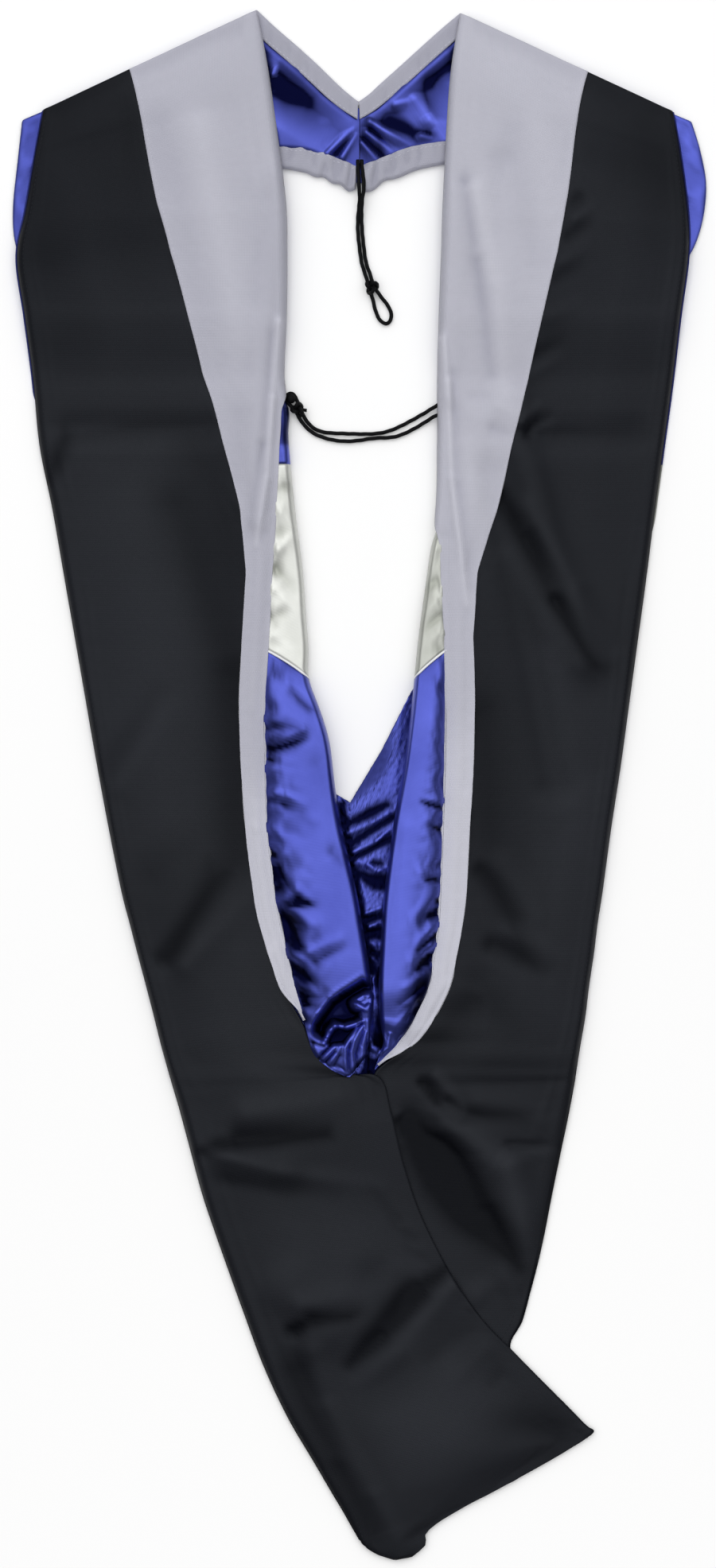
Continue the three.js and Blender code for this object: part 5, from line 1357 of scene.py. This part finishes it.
def beside(grid, column, wall):
    """A path on the upper face of a cloth, halfway between a column and the next."""
    path = mix(grid[:, column], grid[:, column + 1], 0.5)
    path[:, 2] += wall / 2
    return path


# Cloth pieces of the two halves. Where they meet in the tube, the black cloth ends past the seam by the second
# less the first of these, the trim begins before the seam and ends past the inner edge, and the lining begins
# before that edge.
SHELL_SHORT = 0.45 * MM
SHELL_PAST = 0.8 * MM
TRIM_BEFORE = 1.2 * MM
TRIM_PAST = 0.6 * MM
LINING_BEFORE = 0.8 * MM


def least_height(section, v, wall):
    """The least height above the floor of an upper cloth's middle, row by row, over what lies in the tube."""
    return np.interp(v, section.v[:, 0], section.within[:, 0])[:, None] + wall / 2 + FLOOR_LEVEL


def creased(grid, table, sharpness, least, fade=1.0):
    grid = grid.copy()
    grid[..., 2] = np.maximum(grid[..., 2] + crease_height(grid, table, sharpness) * fade, least)
    return grid


class HeightMap:
    """The highest point of what lies in each small square of the plan."""

    CELL = 3 * MM

    def __init__(self):
        self.size = np.ceil(np.array([2 * HALF_WIDTH, LENGTH]) / self.CELL).astype(int) + 9
        self.height = np.full(self.size, FLOOR_LEVEL)

    def places(self, points):
        steps = (points[..., :2] / self.CELL + self.size / 2).astype(int)
        return tuple(np.clip(steps[..., k], 0, self.size[k] - 1) for k in (0, 1))

    def stamp(self, points):
        """Notes a cloth, and spreads all heights to the squares beside them."""
        np.maximum.at(self.height, self.places(points), points[..., 2])
        around = [np.roll(self.height, (a, b), (0, 1)) for a in (-1, 0, 1) for b in (-1, 0, 1)]
        self.height = np.maximum.reduce(around)

    def least(self, points, wall):
        return self.height[self.places(points)] + wall


def refined(section, settled, row_count, column_count):
    """A settled cloth on a finer grid, and the rows of the outline where the finer rows lie."""
    v = section.v[:, 0]
    fine_v = np.interp(np.linspace(0, len(v) - 1, row_count), np.arange(len(v)), v)
    return finer(settled, row_count, column_count), fine_v


SHELL_SPACING = 6 * MM
SHELL_COLUMNS, SHELL_FINE_COLUMNS = 38, 64
# Painted shade over all the black cloth, and more painted shade along its outer hem, as far in as HEM_REACH
SHELL_SHADE = 0.36
HEM_SHADE = 0.5
HEM_REACH = 3 * MM


def make_shell(half, creases, shades, seed, under=None):
    """The black cloth of one half, over what lies under its tail. It gives back its own points."""
    last = len(half["plan"]["trim"]) - 1
    v = even_rows(half, 0, last, SHELL_SPACING)
    section = Section(half, v)
    share = np.linspace(0, 1, SHELL_COLUMNS)[None]
    reach = section.seam - mix(SHELL_SHORT, 0, np.clip(section.v - half["last_tube"], 0, 1))
    grid = section.top(share * (reach + SHELL_PAST * section.tube))
    fine, fine_v = refined(section, relax(grid, seed, **SHELL_SETTLES), 2 * len(v) + 20, SHELL_FINE_COLUMNS)
    fade = ease(np.linspace(0, 1, SHELL_FINE_COLUMNS)[None] * 14)
    fine = creased(fine, creases, 2.0, least_height(section, fine_v, SHELL_WALL), fade * SHELL_CREASE)
    if under:
        clear = under.least(fine, SHELL_STEP) * (fine_v[:, None] > half["last_tube"])
        fine[..., 2] = np.maximum(fine[..., 2], clear)
    # painted shade from the patches and creases, darker along the outer hem
    shade = shaded(fine, SHELL_SHADE, shades, creases, 0.09)
    shade = shade + HEM_SHADE * ease(1 - np.linalg.norm(fine - fine[:, :1], axis=-1) / HEM_REACH)
    piece = cloth_piece(f"black_shell_{half['side']}", fine, SHELL_WALL, BLACK, shade=shade, own=0.2)
    finish_sheet(piece, f"shell_{half['side']}")
    stitch_edge(f"shell_{half['side']}_hem_stitches", beside(fine, 2, SHELL_WALL)[4:-4], BLACK)
    return fine


TRIM_SPACING = 5 * MM
TRIM_COLUMNS, TRIM_FINE_COLUMNS = 21, 48
PILE_HEIGHT, PILE_LENGTH = 0.04 * MM, 9 * MM


def make_trim(half, creases, seed):
    v = even_rows(half, 0, half["last_trim"], TRIM_SPACING)
    section = Section(half, v)
    share = np.linspace(0, 1, TRIM_COLUMNS)[None]
    start = section.seam - TRIM_BEFORE
    reach = section.to_inner + TRIM_PAST
    reach = reach + (section.to_fold - reach) * section.tucked()
    taper = mix(0.12, 1, np.clip((half["last_trim"] - section.v) / 0.7, 0, 1))
    grid = section.top(reach - (1 - share) * (reach - start) * taper)
    grid[..., 2] += (0.9 * ease(1 - share * 3) + 0.25) * MM
    fine, fine_v = refined(section, relax(grid, seed, **TRIM_SETTLES), 2 * len(v), TRIM_FINE_COLUMNS)
    fine = creased(fine, creases, 1.6, least_height(section, fine_v, VELVET_WALL))
    fine[..., 2] += PILE_HEIGHT * soft_noise(fine, PILE_LENGTH, seed + 1)
    # painted shade on the velvet, taken off at the lower ends of the trims so that they look paler
    shade = shaded(fine, half["velvet_shade"], [(0.0, 60, LOW_TRIMS)], creases, 0.12)
    name = f"velvet_trim_{half['side']}"
    piece = cloth_piece(f"{name}_cloth", fine, VELVET_WALL, VELVET, shade=shade, own=0.3)
    finish_sheet(piece, name)
    stitch_edge(f"{name}_stitches", beside(fine, 1, VELVET_WALL)[3:-6], VELVET)


# The lining's columns on the upper side and on the turn under it, how many millimetres its rows lie apart
# before they are made finer, and the shares of that at which they lie afterwards, at the gathered foot too
LINING_TURN = 30
LINING_UNDER = 26
LINING_SPACING = 4
FINE_SHARE = 0.6
FOOT_SHARE = 0.16
FOOT_ROWS = 16
# the painted shade over the blue lining
BLUE_SHADE = 0.13


def lining_rows(low, high, v, with_foot):
    """Row places of a piece of the lining, close together where the cloth is gathered."""
    rows = np.arange(len(v))
    low_row, high_row = np.interp(low, v, rows), np.interp(high, v, rows)
    steps = max(3, int(round((high_row - low_row).max() / FINE_SHARE)) + 1)
    share = np.linspace(0, 1, steps)
    if with_foot:
        foot = 1 - FOOT_ROWS / (high_row - low_row).max()
        share = np.concatenate([share[share < foot], np.linspace(foot, 1, int(FOOT_ROWS / FOOT_SHARE))])
    return mix(low_row[None], high_row[None], share[:, None])


# The gathered foot: how long its swell is, how far it goes out in millimetres, everywhere, here and there and
# at its corner, how wide that corner is, how high it lifts, and the length and drop of its turned edge
SWELL_LENGTH = 16 * MM
SWELL, UNEVEN_SWELL, CORNER_SWELL = 1.2, 0.7, 1.6
CORNER_REACH = 13 * MM
SWELL_RISE = 2.5
EDGE_LENGTH = 3 * MM
EDGE_DROP = 3


def bulge_foot(cloth, from_end, shown, shells, seed):
    """Lets the gathered end of a lining swell a little over the black shell and turn down on it."""
    near = ease(1 - from_end / SWELL_LENGTH) * shown
    corner = ease(1 - np.abs(cloth[..., 0] - at_pixel(*FOOT_CORNER)[0]) / CORNER_REACH)
    swell = (SWELL + UNEVEN_SWELL * soft_noise(cloth, 18 * MM, seed + 5) + CORNER_SWELL * corner) * MM
    cloth[..., 1] -= near * swell
    turned = ease(1 - from_end / EDGE_LENGTH) * shown
    cloth[..., 2] += near * (1 - turned) * SWELL_RISE * MM
    clear = shells.least(cloth, LINING_WALL * 0.7)
    lowered = np.maximum(cloth[..., 2] - turned * EDGE_DROP * MM, clear)
    cloth[..., 2] = np.where(near > 0, lowered, cloth[..., 2])


def make_linings(half, creases, shades, shells, seed):
    """The blue lining of one half, the silver satin in it and the piping between them, from the seam over
    the fold and back below."""
    v = even_rows(half, 0, half["last_tube"], LINING_SPACING * MM)
    section = Section(half, v)
    over = 1 - (1 - np.linspace(0, 1, LINING_TURN)) ** 1.3
    start = section.to_inner - LINING_BEFORE
    top = section.top(start + (section.to_fold - start) * over[None])
    back = np.linspace(0, 1, LINING_UNDER + 1)[1:] ** 1.5
    below = section.below(mix(section.flat, OUTER_ROUND * 0.22, back[None]))
    grid = np.concatenate([top, below], 1)
    grid[..., :2] += section.inwards * (3 * MM * section.tucked())[..., None]
    column_count = LINING_TURN + LINING_UNDER
    column = np.arange(column_count)[None]
    shown = (column < LINING_TURN + 3) * np.ones((len(v), 1))
    near_seam = np.clip(1.1 - column / LINING_TURN * 2.4, 0.02, 1) * shown
    near_seam = near_seam * mix(0.35, 1, ease((section.v - 11) / 3))
    settled = relax(grid, seed, across=0.004 * near_seam, along=0.028 * near_seam, start=0.7 * near_seam,
                    **LINING_SETTLES)
    held = ease(run_across(grid) / (5 * MM)) * ease((np.abs(column - LINING_TURN + 1) - 1) / 6)
    settled = grid + (settled - grid) * held[..., None]
    turn = LINING_TURN / column_count
    across = np.concatenate([np.linspace(0, turn + 0.03, 76), np.linspace(turn + 0.03, 1, 14)[1:]])
    slope = np.minimum(1, across / turn)
    change = CHEVRON_END + CHEVRON_SLOPE * slope
    pipe = PIPING_WIDTH / ROW_LENGTH
    gap = LAYER_GAP / ROW_LENGTH
    none = np.zeros_like(slope)
    # The last value of each part is the painted shade over it.
    parts = [
        ("lining_upper", none, none + CHEVRON_TOP, BLUE, "blue_satin", BLUE_SHADE),
        ("chevron", none + CHEVRON_TOP, change, SILVER, "silver_satin", half["silver_shade"]),
        ("lining_lower", change + pipe - gap, none + half["last_tube"], BLUE, "blue_satin", BLUE_SHADE),
    ]

    def draped(i):
        """The settled lining at rows i of its grid, with its creases."""
        j = np.broadcast_to((across * (column_count - 1))[None], i.shape)
        cloth = sampled(settled, i, j)
        limit = least_height(section, np.interp(i, np.arange(len(v)), v)[:, 0], LINING_WALL)
        facing_up = ease((turn + 0.01 - across) * 40)[None]
        bump = crease_height(cloth, creases, 1.5) + crease_height(cloth, FOOT_CREASES, 1.8, 0.9) * FOOT_CREASE
        if half is LEFT:
            bump = bump - hollow_depth(cloth)
        bump = np.minimum(bump, run_across(cloth) * 0.7) * facing_up
        cloth[..., 2] = np.maximum(cloth[..., 2] + bump, np.minimum(limit, cloth[..., 2]))
        return cloth

    for name, low, high, material, slot, base in parts:
        i = lining_rows(low, high, v, with_foot=name == "lining_lower")
        cloth = draped(i)
        from_end = (len(v) - 1 - i) * LINING_SPACING * MM
        if name == "lining_lower" and half is LEFT:
            bulge_foot(cloth, from_end, across < turn, shells, seed)
        # Painted shade from the patches and creases, painted highlights on the foot's pleats, and less of the
        # folds' own painted shade at the turn and near the foot
        shade = shaded(cloth, base, shades, creases, 0.06) - pleat_shade(cloth)
        own = (1 - np.exp(-(((across - turn) / 0.2) ** 2))) * mix(1, 0.4, ease(1 - from_end / (45 * MM)))
        piece = cloth_piece(f"{name}_{half['side']}_cloth", cloth, LINING_WALL, material, shade=shade,
                            own=own)
        finish_sheet(piece, f"{name}_{half['side']}")
    i = np.interp(change + pipe / 2, v, np.arange(len(v)))[None]
    path = draped(i)[0]
    path[:, 2] += 0.3 * MM * (across < turn)
    piping = tube_mesh(f"piping_{half['side']}_bead", [tube(path, PIPING_WIDTH / 2)], PIPING)
    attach(piping, "root")
    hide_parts(f"piping_{half['side']}")


shells = HeightMap()
shells.stamp(make_shell(RIGHT, SHELL_RIGHT_CREASES, SHELL_RIGHT_SHADES, 5))
shells.stamp(make_shell(LEFT, SHELL_LEFT_CREASES, SHELL_LEFT_SHADES, 3, shells))
make_trim(LEFT, VELVET_LEFT_CREASES, 11)
make_trim(RIGHT, VELVET_RIGHT_CREASES, 12)
make_linings(LEFT, LINING_LEFT_CREASES, LINING_LEFT_SHADES, shells, 21)
make_linings(RIGHT, LINING_RIGHT_CREASES, LINING_RIGHT_SHADES, shells, 22)


# Yoke, neckband and centre panel: both ends of each row, in shares of the half width and the length
LEFT_YOKE = columns("start_x start_y end_x end_y", [
    (-0.973, 0.072, -0.645, 0.041), (-0.986, 0.098, -0.610, 0.062), (-1.000, 0.129, -0.560, 0.084),
    (-0.993, 0.152, -0.510, 0.101), (-0.957, 0.172, -0.470, 0.110), (-0.874, 0.186, -0.440, 0.116)])
RIGHT_YOKE = columns("start_x start_y end_x end_y", [
    (0.957, 0.073, 0.635, 0.043), (0.984, 0.093, 0.598, 0.064), (1.000, 0.116, 0.556, 0.086),
    (0.984, 0.142, 0.505, 0.102), (0.943, 0.162, 0.465, 0.111), (0.860, 0.177, 0.435, 0.117)])
LEFT_BAND = columns("start_x start_y end_x end_y", [
    (-0.297, 0.002, -0.638, 0.041), (-0.245, 0.013, -0.540, 0.073), (-0.183, 0.025, -0.425, 0.098),
    (-0.124, 0.037, -0.307, 0.101), (-0.069, 0.049, -0.183, 0.104), (-0.034, 0.056, -0.085, 0.111),
    (-0.005, 0.061, -0.013, 0.117)])
RIGHT_BAND = columns("start_x start_y end_x end_y", [
    (0.291, 0.004, 0.628, 0.043), (0.238, 0.014, 0.530, 0.075), (0.178, 0.026, 0.420, 0.098),
    (0.119, 0.038, 0.304, 0.098), (0.064, 0.049, 0.178, 0.103), (0.030, 0.056, 0.082, 0.111),
    (-0.001, 0.061, 0.007, 0.117)])
CENTRE_PANEL = columns("start_x start_y end_x end_y", [
    (-0.114, 0.494, -0.045, 0.690), (-0.071, 0.506, -0.010, 0.691), (-0.027, 0.512, 0.025, 0.691),
    (0.064, 0.478, 0.055, 0.690), (0.150, 0.440, 0.080, 0.684), (0.205, 0.424, 0.105, 0.670)])


def between(rows, rows_count, across_count, inset=0.0, corners=False):
    """Plan points between two edges of a table: rows along it and columns from start to end."""
    v = np.linspace(0, len(rows["start_x"]) - 1, rows_count)
    if corners:
        start = place(straight(rows["start_x"], v), straight(rows["start_y"], v))[:, None]
    else:
        start = plan_point(rows, "start", v)[:, None]
    end = plan_point(rows, "end", v)[:, None]
    share = inset / np.linalg.norm(end - start, axis=-1, keepdims=True)
    u = np.linspace(0, 1, across_count)[None, :, None]
    return start + (end - start) * mix(share, 1 - share, u)


def raised(plan, height):
    z = np.broadcast_to(np.asarray(height, float), plan.shape[:-1]) + FLOOR_LEVEL
    return np.concatenate([plan, z[..., None]], -1)


def make_yoke(side, rows, shade):
    plan = between(rows, 34, 30)
    piece = cloth_piece(f"yoke_shell_{side}_cloth", raised(plan, SHELL_WALL / 2), SHELL_WALL, BLACK, smooth=1)
    finish_sheet(piece, f"yoke_shell_{side}")
    lining = relax(raised(plan, SHELL_WALL + LAYER_GAP + LINING_WALL / 2), 31, **YOKE_SETTLES)
    piece = cloth_piece(f"yoke_lining_{side}_cloth", lining, LINING_WALL, BLUE, smooth=1, shade=shade)
    finish_sheet(piece, f"yoke_lining_{side}")


# The columns of the neckband's cloth: on each turned edge, on each bend and between the bends
FLAP_COLUMNS = 10
BEND_COLUMNS = 9
FLAT_COLUMNS = 14
# how far each lining of the neckband ends from the middle seam, as a share of half the hood's width
SEAM_SHARE = 0.0003
# The painted shade over the neckband's velvet and its lining
NECK_VELVET_SHADE = 0.82
NECK_LINING_SHADE = 0.66
NECK_ROWS = 90
# how far from the middle seam the velvet puckers, how high and how far along, and how far the lining
# starts in from the velvet's edges
PUCKER_REACH = 60 * MM
PUCKER_RISE = 0.8 * MM
PUCKER_SHIFT = 1.1 * MM
LINING_INSET = 4 * MM


def make_neckband(side, rows, creases, shades, seed):
    """The velvet of one half of the neck, with its upper and lower edge turned over its lining."""
    low = VELVET_WALL / 2
    v = np.linspace(0, len(rows["start_x"]) - 1, NECK_ROWS)
    start = plan_point(rows, "start", v)[:, None]
    end = plan_point(rows, "end", v)[:, None]
    width = np.linalg.norm(end - start, axis=-1)
    q = np.linspace(-1, 1, BEND_COLUMNS)
    bend_in = FLAP_TURN * (1 - np.cos(q * math.pi / 2))
    bend_up = low + FLAP_TURN * (1 + q)
    ones = np.ones_like(width)
    flap = np.linspace(1, 0, FLAP_COLUMNS)[None]
    flat = np.linspace(0, 1, FLAT_COLUMNS + 2)[None, 1:-1]
    runs = [ones * mix(FLAP_TURN, UPPER_FLAP, flap), ones * bend_in[None, ::-1],
            mix(FLAP_TURN, width - FLAP_TURN, flat),
            width - bend_in[None], width - mix(FLAP_TURN, LOWER_FLAP, flap[:, ::-1])]
    flap_level = np.full(FLAP_COLUMNS, FLAP_HEIGHT)
    levels = [flap_level, bend_up[::-1], np.full(FLAT_COLUMNS, low), bend_up, flap_level]
    run = np.concatenate(runs, 1)
    level = np.concatenate(levels)[None] * ones
    plan = start + (end - start) * (run / width)[..., None]
    grid = np.concatenate([plan, level[..., None] + FLOOR_LEVEL], -1)
    lifted = ease((level - low) / (FLAP_HEIGHT - low))
    nearer = ease(1 - np.abs(plan[..., 0] - MIDDLE[0]) / PUCKER_REACH)
    lower = run > width / 2
    pucker = soft_noise(plan * [1, 0.35], 8 * MM, seed) * (0.2 + 0.9 * nearer * lower)
    grid[..., 2] += PUCKER_RISE * np.maximum(pucker, -0.5) * lifted
    near_end = run > width - LOWER_FLAP
    shift = soft_noise(plan * [1, 0.2], 13 * MM, seed + 3)
    grid[..., 1] += PUCKER_SHIFT * shift * nearer * lower * near_end
    piece = cloth_piece(f"neckband_{side}_cloth", grid, VELVET_WALL, VELVET, shade=NECK_VELVET_SHADE)
    finish_sheet(piece, f"neckband_{side}")
    for edge, column in (("upper", 1), ("lower", grid.shape[1] - 3)):
        path = beside(grid, column, VELVET_WALL)[3:-3]
        stitch_edge(f"neckband_{side}_{edge}_stitches", path, VELVET)
    closed = {name: column.copy() for name, column in rows.items()}
    closed["start_x"][-1] = closed["end_x"][-1] = math.copysign(SEAM_SHARE, rows["start_x"][0])
    lining = raised(between(closed, 110, 70, LINING_INSET), VELVET_WALL + LAYER_GAP + LINING_WALL / 2)
    lining[..., 2] += 0.35 * MM * (1 + soft_noise(lining, 30 * MM, seed + 1)).clip(0)
    least = FLOOR_LEVEL + VELVET_WALL + LAYER_GAP + LINING_WALL / 2
    run = run_across(lining)
    clear = ease((run - 5 * MM) / (6 * MM)) * ease((run[:, -1:] - run - 8 * MM) / (5 * MM))
    lining = creased(lining, creases, 1.6, least, clear * NECK_CREASE)
    shade = shaded(lining, NECK_LINING_SHADE, shades, creases, 0.16)
    piece = cloth_piece(f"neckband_lining_{side}_cloth", lining, LINING_WALL, BLUE, shade=shade)
    finish_sheet(piece, f"neckband_lining_{side}")


# The middle of the centre panel's open part at its top and low end, in pixels, and its half width there in
# millimetres; the middle and reach of the swell at the panel's foot in pixels, and its height
PANEL_TOP, PANEL_TOP_REACH = (466, 996), 30
PANEL_LOW, PANEL_LOW_REACH = (471, 1230), 5
PANEL_FOOT, PANEL_FOOT_REACH = (474, 1296), (15, 20)
PANEL_FOOT_RISE = 8 * MM
# The painted shade over the centre panel
PANEL_SHADE = 0.4


def make_centre_panel():
    """The blue cloth between the rolls, gathered into their foot."""
    plan = between(CENTRE_PANEL, 101, 240, corners=True)
    grid = raised(plan, LINING_WALL / 2)
    top, low = at_pixel(*PANEL_TOP), at_pixel(*PANEL_LOW)
    down = np.clip((top[1] - plan[..., 1]) / (top[1] - low[1]), 0, 1)
    away = (plan[..., 0] - mix(top[0], low[0], down)) / (mix(PANEL_TOP_REACH, PANEL_LOW_REACH, down) * MM)
    grid[..., 2] += 1.4 * MM * np.maximum(0, 1 - away**2)
    least = FLOOR_LEVEL + LINING_WALL / 2
    grid = creased(grid, CENTRE_CREASES, 1.8, least)
    foot = (plan - at_pixel(*PANEL_FOOT)) / np.array(PANEL_FOOT_REACH) / PIXEL
    grid[..., 2] += PANEL_FOOT_RISE * np.exp(-(foot**2).sum(-1))
    grid[..., 2] += 0.25 * MM * soft_noise(grid, 5 * MM, 51).clip(0)
    grid = creased(grid, FOOT_CREASES, 1.8, least, FOOT_CREASE)
    shade = shaded(grid, PANEL_SHADE, CENTRE_SHADES, CENTRE_CREASES, 0.18) - pleat_shade(grid)
    # A painted speckle of sheen over the panel's lighter parts
    shade = shade + 0.22 * soft_noise(grid, 2.6 * MM, 57) * (shade < 0.5)
    piece = cloth_piece("lining_centre_cloth", grid, LINING_WALL, BLUE, shade=shade, own=0.6)
    finish_sheet(piece, "lining_centre")


# The yoke linings' painted shade, more on the left than on the right
make_yoke("left", LEFT_YOKE, 0.3)
make_yoke("right", RIGHT_YOKE, 0.1)
make_neckband("left", LEFT_BAND, NECK_LEFT_CREASES, NECK_LEFT_SHADES, 41)
make_neckband("right", RIGHT_BAND, NECK_RIGHT_CREASES, NECK_RIGHT_SHADES, 43)
make_centre_panel()


# Floor and light
FLOOR_REACH = 4
KEY_PLACE = (-0.5, 1.9, 2.0)
KEY_SIZE, KEY_POWER = 0.9, 18
SKY_TOWARD = (-0.06, 0.34, 1.0)
SKY_NARROWNESS, SKY_POWER, SKY_LEAST = 2.4, 1.95, 0.12


def make_floor():
    corners = [(x * FLOOR_REACH, y * FLOOR_REACH, 0) for x, y in ((-1, -1), (1, -1), (1, 1), (-1, 1))]
    piece = mesh_object("pale_floor", corners, [(0, 1, 2, 3)])
    piece.location.z = FLOOR_LEVEL - 0.2 * MM
    material, tree, shader = new_material("pale_floor_paint")
    shader.inputs["Base Color"].default_value = (0.98, 0.98, 0.98, 1)
    shader.inputs["Emission Color"].default_value = (1, 1, 1, 1)
    shader.inputs["Emission Strength"].default_value = 0.04
    shader.inputs["Roughness"].default_value = 0.9
    piece.data.materials.append(material)


def make_key_light():
    data = bpy.data.lights.new("key", "AREA")
    data.energy = KEY_POWER
    data.size = KEY_SIZE
    light = bpy.data.objects.new("key", data)
    light.location = KEY_PLACE
    aim = -np.array(KEY_PLACE, float)
    light.rotation_euler = (math.atan2(math.hypot(aim[0], aim[1]), -aim[2]), 0, math.atan2(aim[0], -aim[1]))
    bpy.context.scene.collection.objects.link(light)


def make_sky():
    """A soft sky, brightest overhead and a little towards the upper left."""
    world = bpy.data.worlds.new("soft_studio")
    bpy.context.scene.world = world
    world.use_nodes = True
    tree = world.node_tree
    direction = node(tree, "ShaderNodeTexCoord")
    toward = node(tree, "ShaderNodeVectorMath", operation="DOT_PRODUCT")
    aim = np.array(SKY_TOWARD)
    toward.inputs[1].default_value = aim / np.linalg.norm(aim)
    joined(tree, (direction.outputs["Generated"], toward.inputs[0]))
    high = math_node(tree, "MAXIMUM", toward.outputs["Value"], 0.0)
    steep = math_node(tree, "POWER", high, SKY_NARROWNESS)
    power = math_node(tree, "ADD", math_node(tree, "MULTIPLY", steep, SKY_POWER), SKY_LEAST)
    joined(tree, (power, tree.nodes["Background"].inputs[1]))
    tree.nodes["Background"].inputs[0].default_value = (1, 1, 1, 1)


make_floor()
make_sky()
make_key_light()
bpy.context.scene.view_settings.view_transform = "Standard"
